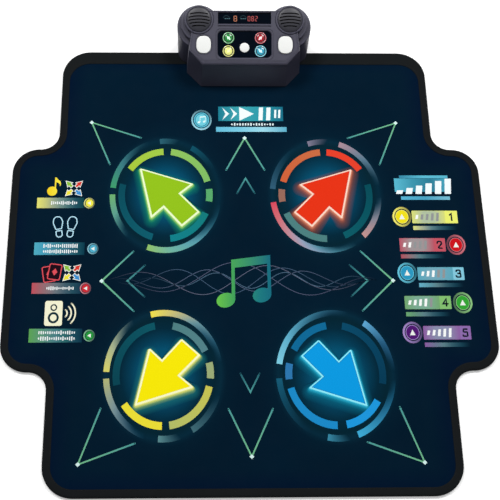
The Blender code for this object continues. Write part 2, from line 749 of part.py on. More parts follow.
def cover_cuts():
    """Everything that is cut out of the upper case."""
    window_half = WINDOW_WIDTH / 2
    cuts = [panel_opening(box_outline(-window_half, window_half, WINDOW_LOW, WINDOW_HIGH),
                          box_outline(-window_half, window_half, WINDOW_LOW - SILL, WINDOW_HIGH + 0.001)),
            panel_opening(overlay_outline(0.0), overlay_outline(SILL / 4, SILL / 2))]
    for side in (-1, 1):
        cuts.append(panel_opening(side_key_outline(side, FIT_GAP), side_key_outline(side, SILL / 3)))
        hole = oval(side * POD_X, POD_DEPTH_ON_PANEL, GRILLE_RADIUS + FIT_GAP, GRILLE_RADIUS + FIT_GAP)
        cuts.append(loft([panel_ring(hole, POD_TOP_RISE - WALL - 0.002), panel_ring(hole, 0.004)]))
    for back_y, top in ((rear_y + POD_RADIUS, 0.0), (hem_front_y, base_low_z), (base_step_y, base_hem_z)):
        cuts.append(box(-cut_half, cut_half, cut_front_y, back_y, -CUT_REACH, top))
    cuts.append(door_opening(FIT_GAP))
    slot_half = (SWITCH_KNOB_WIDTH + SWITCH_TRAVEL) / 2 + FIT_GAP
    slot_height = SWITCH_KNOB_HEIGHT / 2 + FIT_GAP
    cuts.append(in_box(box(SWITCH_X - slot_half, SWITCH_X + slot_half, rear_y - WALL - 0.001,
                           rear_y + 0.001, SWITCH_Z - slot_height, SWITCH_Z + slot_height)))
    cuts.append(rear_rod(SOCKET_X, SOCKET_Z, JACK_BARREL_RADIUS + FIT_GAP, rear_y - WALL - 0.001,
                         rear_y + 0.001))
    for number, (x, y) in enumerate(case_screws()):
        low = (base_high_z if number < 2 else WALL) - 0.001
        cuts.append(upright_rod(x, y, SCREW_RADIUS + FIT_GAP, low, low + SCREW_LENGTH + 0.001))
    screw_z = DOOR_HIGH - DOOR_SCREW_DROP
    cuts.append(rear_rod(0.0, screw_z, SCREW_RADIUS + LOOSE_GAP,
                         rear_y - DOOR_SCREW_LENGTH - LOOSE_GAP, rear_y))
    return cuts


def make_cover():
    """The upper case: the tilted panel, the walls and both pods."""
    outer = case_solids(0.0)
    cover = add_object("console_cover", outer[0], CASE_GREY, 0.45)
    combine(cover, "UNION", outer[1:])
    combine(cover, "DIFFERENCE", case_solids(WALL))
    combine(cover, "UNION", [post_solid(x, y) for x, y in board_posts()]
            + [seat_ring(side) for side in (-1, 1)] + cover_bosses())
    combine(cover, "DIFFERENCE", cover_cuts())
    merge_flat_faces(cover)


def make_base():
    """The lower case: it lies on the mat, steps down behind it and stands on the floor."""
    back_y = rear_y + POD_RADIUS
    floor = [(cut_front_y, base_low_z), (hem_front_y, base_low_z), (hem_front_y, base_hem_z),
             (base_step_y, base_hem_z), (base_step_y, 0.0), (back_y, 0.0), (back_y, WALL),
             (base_step_y + WALL, WALL), (base_step_y + WALL, base_high_z), (cut_front_y, base_high_z)]
    profile = loft([[Vector((x, y, z)) for y, z in floor] for x in (-cut_half, cut_half)])
    inner = case_solids(WALL + FIT_GAP)
    base = add_object("console_base", inner[0], CASE_DARK, 0.5)
    combine(base, "UNION", inner[1:])
    combine(base, "INTERSECT", [profile])
    bosses = [upright_rod(side * HEM_SCREW_X, hem_screw_y, BOSS_RADIUS, base_high_z - 0.001,
                          base_low_z + SCREW_LENGTH) for side in (-1, 1)]
    combine(base, "UNION", bosses)
    cuts = [in_box(box(-TAIL_WIDTH / 2 - LOOSE_GAP, TAIL_WIDTH / 2 + LOOSE_GAP, tail_y - LOOSE_GAP,
                       tail_y + TAIL_THICKNESS + LOOSE_GAP, 0.0, base_high_z + 0.001))]
    for side in (-1, 1):
        cuts.append(upright_rod(side * HEM_SCREW_X, hem_screw_y, SCREW_RADIUS + FIT_GAP, 0.0,
                                base_low_z + SCREW_LENGTH - WALL))
    for number, (x, y) in enumerate(case_screws()):
        under = base_low_z if number < 2 else 0.0
        cuts.append(upright_rod(x, y, SCREW_RADIUS + FIT_GAP, under - 0.001, base_high_z + 0.001))
        cuts.append(upright_rod(x, y, SCREW_HEAD_RADIUS + FIT_GAP, under - 0.001,
                                under + SCREW_HEAD_THICKNESS + 2 * FIT_GAP))
    combine(base, "DIFFERENCE", cuts)
    merge_flat_faces(base)


# What sits in the panel

def make_panes():
    """The display window and the glossy overlay, seated under the panel's edges."""
    window_half = WINDOW_WIDTH / 2 + COVER_LAP / 2
    window_low = WINDOW_LOW - COVER_LAP
    window_high = WINDOW_HIGH + WINDOW_LAP
    window = plate(box_outline(-window_half, window_half, window_low, window_high), pane_bottom, pane_top)
    add_object("display_window", on_panel(window), (0.004, 0.006, 0.012), 0.08)
    holes = [oval(x, y, LIGHT_RADIUS + FIT_GAP, LIGHT_RADIUS + FIT_GAP, 2.0, MEDIUM_ROUND)
             for x, y, _, _ in light_table()]
    key_hole = CENTRE_KEY_RADIUS + FIT_GAP
    holes.append(oval(0.0, CENTRE_KEY_UP, key_hole, key_hole, 2.0, MEDIUM_ROUND))
    overlay = plate(overlay_outline(COVER_LAP), pane_bottom, pane_top, holes)
    add_object("button_overlay", on_panel(overlay), (0.002, 0.005, 0.016), 0.06)


def light_table():
    """Each arrow light's place on the panel, colour name and colour."""
    return [(-LIGHT_X, LIGHT_HIGH, "green", (0.05, 0.45, 0.06)),
            (LIGHT_X, LIGHT_HIGH, "red", (0.60, 0.02, 0.02)),
            (-LIGHT_X, LIGHT_LOW, "yellow", (0.80, 0.70, 0.02)),
            (LIGHT_X, LIGHT_LOW, "blue", (0.02, 0.35, 0.60))]


def make_lights():
    """Four round light lenses, held under the overlay by a flange."""
    flange_top = pane_bottom - FIT_GAP
    flange = LIGHT_RADIUS + LIGHT_FLANGE
    for x, y, name, colour in light_table():
        rings = [flat_ring(oval(x, y, radius, radius, 2.0, MEDIUM_ROUND), z)
                 for radius, z in ((flange, flange_top - PANE_THICKNESS), (flange, flange_top),
                                   (LIGHT_RADIUS, flange_top), (LIGHT_RADIUS, pane_top + FIT_GAP),
                                   (LIGHT_RADIUS * 0.8, pane_top + 2 * FIT_GAP))]
        add_object(f"arrow_light_{name}", on_panel(loft(rings)), colour, 0.15)


def key_solid(outline, top, flange_top, power, steps):
    """A key: its stem, its flange, its body and a slightly domed top."""
    x, y, _, _ = outline(0.0, 1.0)
    flange_bottom = flange_top - KEY_FLANGE_THICKNESS
    stem = oval(x, y, KEY_STEM_RADIUS, KEY_STEM_RADIUS, 2.0, steps)
    rings = [flat_ring(stem, stem_bottom), flat_ring(stem, flange_bottom)]
    for grow, share, z in ((KEY_FLANGE, 1.0, flange_bottom), (KEY_FLANGE, 1.0, flange_top),
                           (0.0, 1.0, flange_top), (0.0, 1.0, top - 0.0006), (-0.0006, 1.0, top),
                           (0.0, 0.6, top + 0.0006)):
        centre_x, centre_y, half_width, half_depth = outline(grow, share)
        rings.append(flat_ring(oval(centre_x, centre_y, half_width, half_depth, power, steps), z))
    return on_panel(loft(rings))


def make_keys():
    """The round centre key and the two oval side keys."""
    def centre(grow, share):
        radius = (CENTRE_KEY_RADIUS + grow) * share
        return 0.0, CENTRE_KEY_UP, radius, radius

    def beside(side):
        def outline(grow, share):
            return (side * SIDE_KEY_X, SIDE_KEY_UP, (SIDE_KEY_WIDTH / 2 + grow) * share,
                    (SIDE_KEY_DEPTH / 2 + grow) * share)
        return outline

    key = key_solid(centre, pane_top + KEY_PROUD, pane_bottom - FIT_GAP, 2.0, MEDIUM_ROUND)
    add_object("centre_key", key, KEY_WHITE, 0.3, origin=PANEL @ Vector((0.0, CENTRE_KEY_UP, pane_top)))
    for name, side in (("left", -1), ("right", 1)):
        key = key_solid(beside(side), KEY_PROUD / 2, -WALL - FIT_GAP, SIDE_KEY_POWER, SIDE_KEY_ROUND)
        add_object(f"{name}_key", key, KEY_WHITE, 0.3,
                   origin=PANEL @ Vector((side * SIDE_KEY_X, SIDE_KEY_UP, 0.0)))


def make_speakers():
    """The slotted domed grilles and the drivers behind them."""
    flange_top = POD_TOP_RISE - WALL - FIT_GAP
    flange_bottom = flange_top - GRILLE_FLANGE
    speaker_top = flange_bottom - FIT_GAP
    speaker_back = speaker_top - SPEAKER_DEPTH
    for name, side in (("left", -1), ("right", 1)):
        place = PANEL @ Matrix.Translation((side * POD_X, POD_DEPTH_ON_PANEL, 0.0))
        dome = [(GRILLE_RADIUS * math.cos(math.radians(a)),
                 GRILLE_RISE * math.sin(math.radians(a)) + POD_TOP_RISE) for a in (0, 32, 66)]
        inner = [(radius * 0.92, z - GRILLE_THICKNESS) for radius, z in reversed(dome)]
        rings = [circle_ring(r, z, ROUND) for r, z in inner]
        rings += [circle_ring(r, z, ROUND)
                  for r, z in ((GRILLE_RADIUS * 0.92, flange_bottom), (SEAT_RADIUS, flange_bottom),
                               (SEAT_RADIUS, flange_top), (GRILLE_RADIUS, flange_top))]
        rings += [circle_ring(r, z, ROUND) for r, z in dome]
        colour = (0.035, 0.035, 0.045)
        grille = add_object(f"speaker_grille_{name}", moved(loft(rings), place), colour, 0.5)
        slots = []
        for i in range(GRILLE_SLOTS):
            y = (i - (GRILLE_SLOTS - 1) / 2) * GRILLE_SLOT_PITCH + GRILLE_SLOT_SHIFT
            half = math.sqrt(GRILLE_SLOT_FIELD ** 2 - max(abs(y), GRILLE_SLOT_TAPER - y) ** 2)
            slots.append(moved(box(-half, half, y - GRILLE_SLOT / 2, y + GRILLE_SLOT / 2, -0.004, 0.006),
                               place))
        combine(grille, "DIFFERENCE", slots)
        merge_flat_faces(grille)
        cone_radius = SEAT_RADIUS - SPEAKER_FRAME
        profile = ((0.012, speaker_back), (0.012, speaker_back + 0.0075), (0.014, speaker_back + 0.0080),
                   (cone_radius, speaker_top - 0.0020), (SEAT_RADIUS, speaker_top - 0.0020),
                   (SEAT_RADIUS, speaker_top), (cone_radius, speaker_top), (0.0090, speaker_top - 0.0065),
                   (0.0060, speaker_top - 0.0045))
        driver = moved(loft([circle_ring(r, z, MEDIUM_ROUND) for r, z in profile]), place)
        add_object(f"speaker_{name}", driver, (0.02, 0.02, 0.02), 0.6)


# Under the panel

def make_board():
    """The circuit board, the display module, the key membrane and the tail's socket."""
    right = [(BOARD_HALF_WIDTH - BOARD_CORNER, BOARD_FRONT), (BOARD_HALF_WIDTH, BOARD_FRONT + BOARD_CORNER),
             (BOARD_HALF_WIDTH, BOARD_STEP), (BOARD_NECK_HALF_WIDTH, BOARD_STEP),
             (BOARD_NECK_HALF_WIDTH, BOARD_BACK)]
    outline = right + [(-x, y) for x, y in reversed(right)]
    pin_holes = [oval(x, y, POST_PIN_RADIUS + FIT_GAP, POST_PIN_RADIUS + FIT_GAP, 2.0, SMALL_ROUND)
                 for x, y in board_posts()]
    board = plate(outline, board_bottom, -BOARD_DROP, pin_holes)
    add_object("main_board", on_panel(board), (0.02, 0.16, 0.06), 0.45)

    module_half = MODULE_WIDTH / 2
    module = plate(box_outline(-module_half, module_half, WINDOW_LOW, WINDOW_HIGH - 0.002),
                   -BOARD_DROP + FIT_GAP, pane_bottom - FIT_GAP)
    add_object("display_module", on_panel(module), (0.02, 0.02, 0.022), 0.35)

    edge = 0.002
    neck = LIGHT_X + LIGHT_RADIUS + 0.006
    right = [(BOARD_HALF_WIDTH - BOARD_CORNER, BOARD_FRONT + edge),
             (BOARD_HALF_WIDTH - edge, BOARD_FRONT + BOARD_CORNER),
             (BOARD_HALF_WIDTH - edge, BOARD_STEP - edge), (neck, BOARD_STEP - edge),
             (neck, OVERLAY_HIGH + edge)]
    outline = right + [(-x, y) for x, y in reversed(right)]
    window = LIGHT_RADIUS - LIGHT_FLANGE - LIGHT_FLANGE
    holes = [oval(x, y, window, window, 2.0, SMALL_ROUND) for x, y, _, _ in light_table()]
    holes += [oval(x, y, POST_RADIUS + LOOSE_GAP, POST_RADIUS + LOOSE_GAP, 2.0, SMALL_ROUND)
              for x, y in board_posts() if y == FRONT_POST[1]]
    domes = [oval(x, y, DOME_RADIUS, DOME_RADIUS, 2.0, SMALL_ROUND)
             for x, y in ((0.0, CENTRE_KEY_UP), (-SIDE_KEY_X, SIDE_KEY_UP), (SIDE_KEY_X, SIDE_KEY_UP))]
    membrane = plate(outline, -BOARD_DROP + FIT_GAP, membrane_top, holes, domes, dome_top)
    add_object("key_membrane", on_panel(membrane), (0.30, 0.30, 0.31), 0.7)


def board_z(y):
    """The height of the board's underside at one Y."""
    tilt = math.radians(PANEL_TILT)
    up = (y - panel_front_y + board_bottom * math.sin(tilt)) / math.cos(tilt)
    return PANEL_FRONT_Z + up * math.sin(tilt) + board_bottom * math.cos(tilt)


def make_tail():
    """The films' tail, up through the lower case into its socket under the board."""
    half = TAIL_WIDTH / 2
    y_low = tail_y - 0.003
    y_high = tail_y + TAIL_THICKNESS + 0.003
    bottom = board_z(y_low) - SOCKET_HEIGHT
    shelf = [(y_low, bottom), (y_high, bottom), (y_high, board_z(y_high) - FIT_GAP),
             (y_low, board_z(y_low) - FIT_GAP)]
    socket = loft([[Vector((BOX_X + x, y, z)) for y, z in shelf] for x in (-half - 0.003, half + 0.003)])
    holder = add_object("tail_socket", socket, (0.75, 0.74, 0.70), 0.4)
    mouth = box(BOX_X - half - FIT_GAP, BOX_X + half + FIT_GAP, tail_y - FIT_GAP,
                tail_y + TAIL_THICKNESS + FIT_GAP, bottom - 0.001, bottom + SOCKET_HEIGHT * 0.6)
    combine(holder, "DIFFERENCE", [mouth])

    top = bottom + SOCKET_HEIGHT * 0.6 - FIT_GAP
    path = [(film_back_y + FIT_GAP, upper_film_z), (tail_y + TAIL_THICKNESS, upper_film_z),
            (tail_y + TAIL_THICKNESS, top), (tail_y, top), (tail_y, upper_film_z + FILM_THICKNESS),
            (film_back_y + FIT_GAP, upper_film_z + FILM_THICKNESS)]
    tail = loft([[Vector((BOX_X + x, y, z)) for y, z in path] for x in (-half, half)])
    add_object("film_tail", tail, (0.55, 0.35, 0.08), 0.35)


# Screws

def screw_solid(length):
    """A pan head screw, its head on the floor and its shank upwards."""
    return loft([circle_ring(SCREW_HEAD_RADIUS * 0.8, 0.0), circle_ring(SCREW_HEAD_RADIUS, 0.0004),
                 circle_ring(SCREW_HEAD_RADIUS, SCREW_HEAD_THICKNESS),
                 circle_ring(SCREW_RADIUS, SCREW_HEAD_THICKNESS), circle_ring(SCREW_RADIUS, length - 0.001),
                 circle_ring(SCREW_RADIUS * 0.4, length)])


def make_screws():
    """The screws that close the case, and those that hold the mat's hem."""
    for number, (x, y) in enumerate(case_screws()):
        under = (base_low_z if number < 2 else 0.0) + FIT_GAP
        screw = moved(screw_solid(SCREW_LENGTH), Matrix.Translation((BOX_X + x, y, under)))
        add_object(f"case_screw_{number + 1}", screw, METAL, 0.3, 1.0)
    for name, side in (("left", -1), ("right", 1)):
        place = Matrix.Translation((BOX_X + side * HEM_SCREW_X, hem_screw_y, hem_screw_z))
        screw = moved(screw_solid(mat_top + SCREW_LENGTH / 2), place)
        add_object(f"hem_screw_{name}", screw, METAL, 0.3, 1.0)


# The rear wall's fittings

def make_batteries():
    """The tray, its cells and contacts, and the door with its screw."""
    inner_half = CELL_PITCH * (CELLS - 1) / 2 + CELL_RADIUS + FIT_GAP
    inner_depth = 2 * CELL_RADIUS + 2 * FIT_GAP
    height = tray_top - tray_low
    back_y = rear_y - DOOR_THICKNESS - 2 * FIT_GAP
    front_y = back_y - inner_depth - TRAY_WALL
    half = inner_half + TRAY_WALL
    place = Matrix.Translation((BOX_X, front_y, tray_low)) @ Matrix.Rotation(math.radians(-90), 4, "X")
    tray = plate(box_outline(-half, half, -height, 0.0), 0.0, back_y - front_y, (),
                 [box_outline(-inner_half, inner_half, -height + TRAY_WALL, -TRAY_WALL)], TRAY_WALL)
    add_object("battery_box", moved(tray, place), (0.02, 0.02, 0.02), 0.5)

    cell_y = back_y - inner_depth / 2
    cell_z = tray_low + TRAY_WALL + contact_stack
    cell_xs = [(i - (CELLS - 1) / 2) * CELL_PITCH for i in range(CELLS)]
    for i, x in enumerate(cell_xs):
        can = CELL_LENGTH - CELL_NUB_LENGTH
        rings = [circle_ring(CELL_RADIUS, 0.0, MEDIUM_ROUND), circle_ring(CELL_RADIUS, can, MEDIUM_ROUND),
                 circle_ring(CELL_NUB_RADIUS, can, MEDIUM_ROUND),
                 circle_ring(CELL_NUB_RADIUS, CELL_LENGTH, MEDIUM_ROUND)]
        place = Matrix.Translation((BOX_X + x, cell_y, cell_z))
        if i % 2:
            place = (Matrix.Translation((BOX_X + x, cell_y, cell_z + CELL_LENGTH))
                     @ Matrix.Rotation(math.pi, 4, "X"))
        add_object(f"battery_cell_{i + 1}", moved(loft(rings), place), (0.06, 0.30, 0.14), 0.35)

    groups = [("top", cell_xs[:2]), ("top", cell_xs[2:]), ("bottom", cell_xs[:1]), ("bottom", cell_xs[1:])]
    for number, (end, xs) in enumerate(groups):
        outline = box_outline(xs[0] - CONTACT_HALF, xs[-1] + CONTACT_HALF, -CONTACT_HALF, CONTACT_HALF)
        bumps = [oval(x, 0.0, CONTACT_BUMP_RADIUS, CONTACT_BUMP_RADIUS, 2.0, SMALL_ROUND) for x in xs]
        contact = plate(outline, 0.0, CONTACT_THICKNESS, (), bumps, CONTACT_THICKNESS + CONTACT_BUMP)
        z = tray_low + TRAY_WALL + FIT_GAP
        place = Matrix.Translation((BOX_X, cell_y, z))
        if end == "top":
            z = tray_top - TRAY_WALL - FIT_GAP
            place = Matrix.Translation((BOX_X, cell_y, z)) @ Matrix.Diagonal((1, 1, -1, 1))
        add_object(f"battery_contact_{number + 1}", moved(contact, place), (0.70, 0.70, 0.68), 0.25, 1.0)

    screw_z = DOOR_HIGH - DOOR_SCREW_DROP
    door_half = DOOR_WIDTH / 2
    hinge = (BOX_X, rear_y, DOOR_LOW)
    door = box(BOX_X - door_half, BOX_X + door_half, rear_y - DOOR_THICKNESS, rear_y, DOOR_LOW, DOOR_HIGH)
    panel = add_object("battery_door", door, CASE_DARK, 0.5, origin=hinge)
    head_depth = SCREW_HEAD_THICKNESS / 2
    combine(panel, "DIFFERENCE", [
        rear_rod(0.0, screw_z, SCREW_RADIUS + FIT_GAP, rear_y - DOOR_THICKNESS - 0.001, rear_y + 0.001),
        rear_rod(0.0, screw_z, SCREW_HEAD_RADIUS + FIT_GAP, rear_y - head_depth - FIT_GAP, rear_y + 0.001)])
    place = (Matrix.Translation((BOX_X, rear_y + head_depth, screw_z))
             @ Matrix.Rotation(math.radians(90), 4, "X"))
    screw = moved(screw_solid(DOOR_SCREW_LENGTH), place)
    add_object("door_screw", screw, METAL, 0.3, 1.0, origin=hinge)


def make_switch_and_socket():
    """The power switch and the audio socket beside the battery door."""
    inside = rear_y - WALL - FIT_GAP
    body = in_box(box(SWITCH_X - SWITCH_HALF, SWITCH_X + SWITCH_HALF, inside - SWITCH_DEPTH, inside,
                      SWITCH_Z - SWITCH_HALF / 2, SWITCH_Z + SWITCH_HALF / 2))
    holder = add_object("power_switch_body", body, (0.35, 0.35, 0.36), 0.4, 0.6)
    knob_half = SWITCH_KNOB_WIDTH / 2
    knob_height = SWITCH_KNOB_HEIGHT / 2
    off_x = SWITCH_X - SWITCH_TRAVEL / 2
    reach = SWITCH_DEPTH * 0.4
    sweep = knob_half + SWITCH_TRAVEL / 2 + FIT_GAP
    channel = in_box(box(SWITCH_X - sweep, SWITCH_X + sweep, inside - reach - FIT_GAP, inside + 0.001,
                         SWITCH_Z - knob_height - FIT_GAP, SWITCH_Z + knob_height + FIT_GAP))
    combine(holder, "DIFFERENCE", [channel])
    knob = in_box(box(off_x - knob_half, off_x + knob_half, inside - reach, rear_y + SWITCH_PROUD,
                      SWITCH_Z - knob_height, SWITCH_Z + knob_height))
    add_object("power_switch_knob", knob, (0.03, 0.03, 0.03), 0.5, origin=(BOX_X + off_x, rear_y, SWITCH_Z))

    place = (Matrix.Translation((BOX_X + SOCKET_X, rear_y - JACK_DEPTH, SOCKET_Z))
             @ Matrix.Rotation(math.radians(-90), 4, "X"))
    block_depth = JACK_DEPTH - WALL - FIT_GAP
    square = oval(0, 0, JACK_BLOCK_HALF, JACK_BLOCK_HALF, 5.0, HIDDEN_ROUND)
    rings = [flat_ring(square, 0.0), flat_ring(square, block_depth)]
    rings += [circle_ring(radius, z, HIDDEN_ROUND)
              for radius, z in ((JACK_BARREL_RADIUS, block_depth), (JACK_BARREL_RADIUS, JACK_DEPTH),
                                (JACK_RADIUS, JACK_DEPTH), (JACK_RADIUS, JACK_FLOOR))]
    add_object("aux_socket", moved(loft(rings), place), (0.03, 0.03, 0.03), 0.4)


def build():
    """Clears the scene and makes every sub-part."""
    for obj in list(bpy.data.objects):
        bpy.data.objects.remove(obj, do_unlink=True)
    pads = pad_table()
    make_mat(pads)
    make_pads(pads)
    make_cover()
    make_base()
    make_panes()
    make_lights()
    make_keys()
    make_speakers()
    make_board()
    make_tail()
    make_screws()
    make_batteries()
    make_switch_and_socket()


build()
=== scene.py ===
# Dance mat controller: a printed foam floor mat with a battery-powered control box on its back edge.
# Metres, +Z up, +Y towards the control box, origin on the floor under the middle of the mat.
import json
import math
import random

import bmesh
import bpy
from mathutils import Matrix, Vector

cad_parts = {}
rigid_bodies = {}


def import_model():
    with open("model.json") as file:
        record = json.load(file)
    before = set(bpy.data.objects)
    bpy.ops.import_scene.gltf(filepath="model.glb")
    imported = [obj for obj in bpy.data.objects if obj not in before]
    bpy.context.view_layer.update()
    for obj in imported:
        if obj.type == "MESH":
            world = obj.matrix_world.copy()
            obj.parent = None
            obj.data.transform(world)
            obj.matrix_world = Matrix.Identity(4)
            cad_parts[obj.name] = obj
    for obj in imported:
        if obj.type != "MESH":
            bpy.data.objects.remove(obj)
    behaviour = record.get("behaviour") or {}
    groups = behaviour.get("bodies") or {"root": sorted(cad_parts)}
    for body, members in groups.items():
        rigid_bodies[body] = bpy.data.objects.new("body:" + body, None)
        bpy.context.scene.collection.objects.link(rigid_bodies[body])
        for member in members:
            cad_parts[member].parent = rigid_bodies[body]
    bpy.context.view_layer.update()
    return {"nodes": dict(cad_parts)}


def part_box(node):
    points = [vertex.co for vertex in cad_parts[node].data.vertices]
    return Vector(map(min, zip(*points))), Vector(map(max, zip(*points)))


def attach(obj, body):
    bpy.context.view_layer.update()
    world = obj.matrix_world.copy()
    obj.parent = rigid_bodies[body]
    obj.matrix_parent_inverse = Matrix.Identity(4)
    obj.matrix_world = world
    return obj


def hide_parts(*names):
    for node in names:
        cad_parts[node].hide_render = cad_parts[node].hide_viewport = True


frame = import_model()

nodes = frame["nodes"]
ROOT = "mat_and_console"

# The mat
MAT_WIDTH = 0.900
MAT_DEPTH = 0.891
END_WIDTH = 0.728
LOBE_DEPTH = 0.447
END_CORNER = 0.055
LOBE_CORNER = 0.050
SHOULDER = 0.034
BORDER_WIDTH = 0.015
HEM_WIDTH = 0.029
BACK_Y = MAT_DEPTH / 2
MAT_TOP = 0.0080
TAPE_TOP = 0.0091
TAPE_THICKNESS = 0.0008
TAPE_EDGE = 0.0042
TAPE_FOLD = 0.0040
TAPE_FLAT = 0.0080
SEAM_INSET = 0.0133
SEAM_HEM_INSET = 0.0252
PRINT_LIFT = 0.00004
PRINT_STEP = 0.00002
PRINT_UNDER = 0.00001
FILM_Z = 0.0066
SHEET_UNDER = 0.0072
SHEET_TUCK = 0.0045
PAD_GAP = 0.00004
LAYER_INSET = 0.0013
FOAM_LOW = 0.0029
FOAM_HIGH = 0.0063
POCKET_FLOOR = 0.0051
GRIP_MARGIN = 0.022
GRIP_PITCH = 0.015
HEM_SCREW_X = 0.050
HEM_SCREW_Y = 0.391
HEM_SCREW_Z = 0.0023

# The control box
BOX_X = -0.003
PANEL_FRONT_Y = 0.379
PANEL_FRONT_Z = 0.068
PANEL_TILT = math.radians(21.7)
PANEL_FRONT_WIDTH = 0.166
PANEL_WIDTH = 0.218
PANEL_BACK_WIDTH = 0.210
PANEL_CHAMFER_DEPTH = 0.0255
PANEL_WAIST = 0.060
PANEL_DEPTH = 0.105
EDGE_ROUND = 0.0062
SIDE_SHARE = 0.3
FRONT_LIP = 0.003
WALL = 0.0025
FOOT_FRONT_Y = 0.364
FOOT_FRONT_WIDTH = 0.170
FOOT_WIDTH = 0.226
FOOT_CHAMFER_DEPTH = 0.0315
FOOT_TAPER = 0.0015
FOOT_TAIL = 0.012
LOW_Z = 0.0083
HEM_Z = 0.0094
HEM_FRONT_Y = 0.4162
BACK_STEP_Y = 0.4458
REAR_Y = 0.494
REAR_WIDTH = 0.156
REAR_HEIGHT = 0.078
REAR_DROP = 0.008
POD_X = 0.089
POD_UP = 0.0867
POD_RADIUS = 0.0425
POD_STEP = 0.0070
POD_STEP_HEIGHT = 0.0085
POD_STEP_SHIFT = 0.0051
POD_TOP_RISE = 0.0010
POD_FOOT_Y = 0.4615
POD_FOOT_FRONT = 0.045
POD_FOOT_BACK = 0.0415
POD_FOOT_SIDE = 0.042
GRILLE_RADIUS = 0.0242
GRILLE_RISE = 0.0035
SEAT_RADIUS = 0.0252
WINDOW_HALF = 0.052
WINDOW_LOW = 0.079
WINDOW_HIGH = 0.1005
OVERLAY_HALF = 0.0523
OVERLAY_LOW = 0.0125
OVERLAY_HIGH = 0.0648
OVERLAY_CORNER = 0.009
PANE_TOP = -0.0028
LIGHT_X = 0.0314
LIGHT_LOW = 0.0256
LIGHT_HIGH = 0.0515
LIGHT_RADIUS = 0.0111
CENTRE_KEY_UP = 0.0323
CENTRE_KEY_RADIUS = 0.0095
SIDE_KEY_X = 0.0799
SIDE_KEY_UP = 0.0377
SIDE_KEY_HALF_WIDTH = 0.0142
SIDE_KEY_HALF_DEPTH = 0.0170
KEY_PROUD = 0.0016
STEM_LOW = -0.0065
GAP = 0.0003
KEY_FLANGE = PANE_TOP - 0.0018

PANEL = (Matrix.Translation((BOX_X, PANEL_FRONT_Y, PANEL_FRONT_Z)) @ Matrix.Rotation(PANEL_TILT, 4, "X"))


# Nodes and materials

def linear(code, alpha=1.0):
    """An sRGB hex colour as the linear values that shaders take."""
    values = [int(code[i:i + 2], 16) / 255 for i in (0, 2, 4)]
    return (*[v / 12.92 if v <= 0.04045 else ((v + 0.055) / 1.055) ** 2.4 for v in values], alpha)


def join(tree, node, inputs):
    """Sets a node's sockets to values, or links them to nodes and sockets."""
    for key, value in inputs.items():
        socket = node.inputs[key] if isinstance(key, int) else next(
            s for s in node.inputs if s.enabled and s.name == key)
        if isinstance(value, bpy.types.Node):
            value = next(s for s in value.outputs if s.enabled)
        if isinstance(value, bpy.types.NodeSocket):
            tree.links.new(value, socket)
        else:
            socket.default_value = value


def add(tree, kind, inputs=None, stops=None, **settings):
    """Adds a node with its settings, a ramp's stops, and its values and links."""
    node = tree.nodes.new(kind)
    for name, value in settings.items():
        setattr(node, name, value)
    if stops:
        elements = node.color_ramp.elements
        while len(elements) < len(stops):
            elements.new(1.0)
        for element, (place, colour) in zip(elements, stops):
            element.position = place
            element.color = colour
    join(tree, node, inputs or {})
    return node


def start_material(name, roughness, metallic=0.0, **sockets):
    """A Principled material with its tree, its shader and its Object coordinates."""
    material = bpy.data.materials.new(name)
    material.use_nodes = True
    tree = material.node_tree
    shader = tree.nodes["Principled BSDF"]
    join(tree, shader, {"Roughness": roughness, "Metallic": metallic,
                        **{key.replace("_", " "): value for key, value in sockets.items()}})
    return material, tree, shader, add(tree, "ShaderNodeTexCoord").outputs["Object"]


def moulded(name, base, shade, roughness, grain=0.0008, depth=0.00003, metallic=0.0, blotch=0.03, **sockets):
    """A moulded or cast finish: two close colours in soft patches, with fine grain in its gloss and relief."""
    material, tree, shader, place = start_material(name, roughness, metallic, **sockets)
    patch = add(tree, "ShaderNodeTexNoise", {"Vector": place, "Scale": 1 / blotch, "Detail": 3.0})
    colour = add(tree, "ShaderNodeMix", {"Factor": patch, "A": linear(base), "B": linear(shade)},
                 data_type="RGBA")
    fine = add(tree, "ShaderNodeTexNoise", {"Vector": place, "Scale": 1 / grain, "Detail": 3.0})
    gloss = add(tree, "ShaderNodeMapRange", {"Value": fine, "From Min": 0.3, "From Max": 0.7,
                                             "To Min": roughness * 0.85, "To Max": roughness * 1.15})
    relief = add(tree, "ShaderNodeBump", {"Height": fine, "Strength": 0.6, "Distance": depth})
    join(tree, shader, {"Base Color": colour, "Roughness": gloss, "Normal": relief})
    return material


def lit(name, code, glow, roughness=0.12):
    """A coloured clear lens with light behind it: brighter in the middle of its soft patches."""
    material, tree, shader, place = start_material(name, roughness, Coat_Weight=0.6, Coat_Roughness=0.05,
                                                   Emission_Strength=glow)
    patch = add(tree, "ShaderNodeTexNoise", {"Vector": place, "Scale": 220.0, "Detail": 2.0})
    low = tuple(v * 0.72 for v in linear(code)[:3]) + (1.0,)
    colour = add(tree, "ShaderNodeMix", {"Factor": patch, "A": low, "B": linear(code)}, data_type="RGBA")
    join(tree, shader, {"Base Color": colour, "Emission Color": colour})
    return material


# Lines and outlines

def arc(centre, radius, start, end, steps):
    """Points along a round arc, with its angles in degrees."""
    angles = [math.radians(start + (end - start) * i / steps) for i in range(steps + 1)]
    return [(centre[0] + radius * math.cos(a), centre[1] + radius * math.sin(a)) for a in angles]


def oval(x, y, half_width, half_depth, power=2.0, steps=96):
    """A superellipse: an ellipse at power 2, squarer above it."""
    points = []
    for i in range(steps):
        c = math.cos(math.tau * i / steps)
        s = math.sin(math.tau * i / steps)
        points.append((x + half_width * math.copysign(abs(c) ** (2 / power), c),
                       y + half_depth * math.copysign(abs(s) ** (2 / power), s)))
    return points


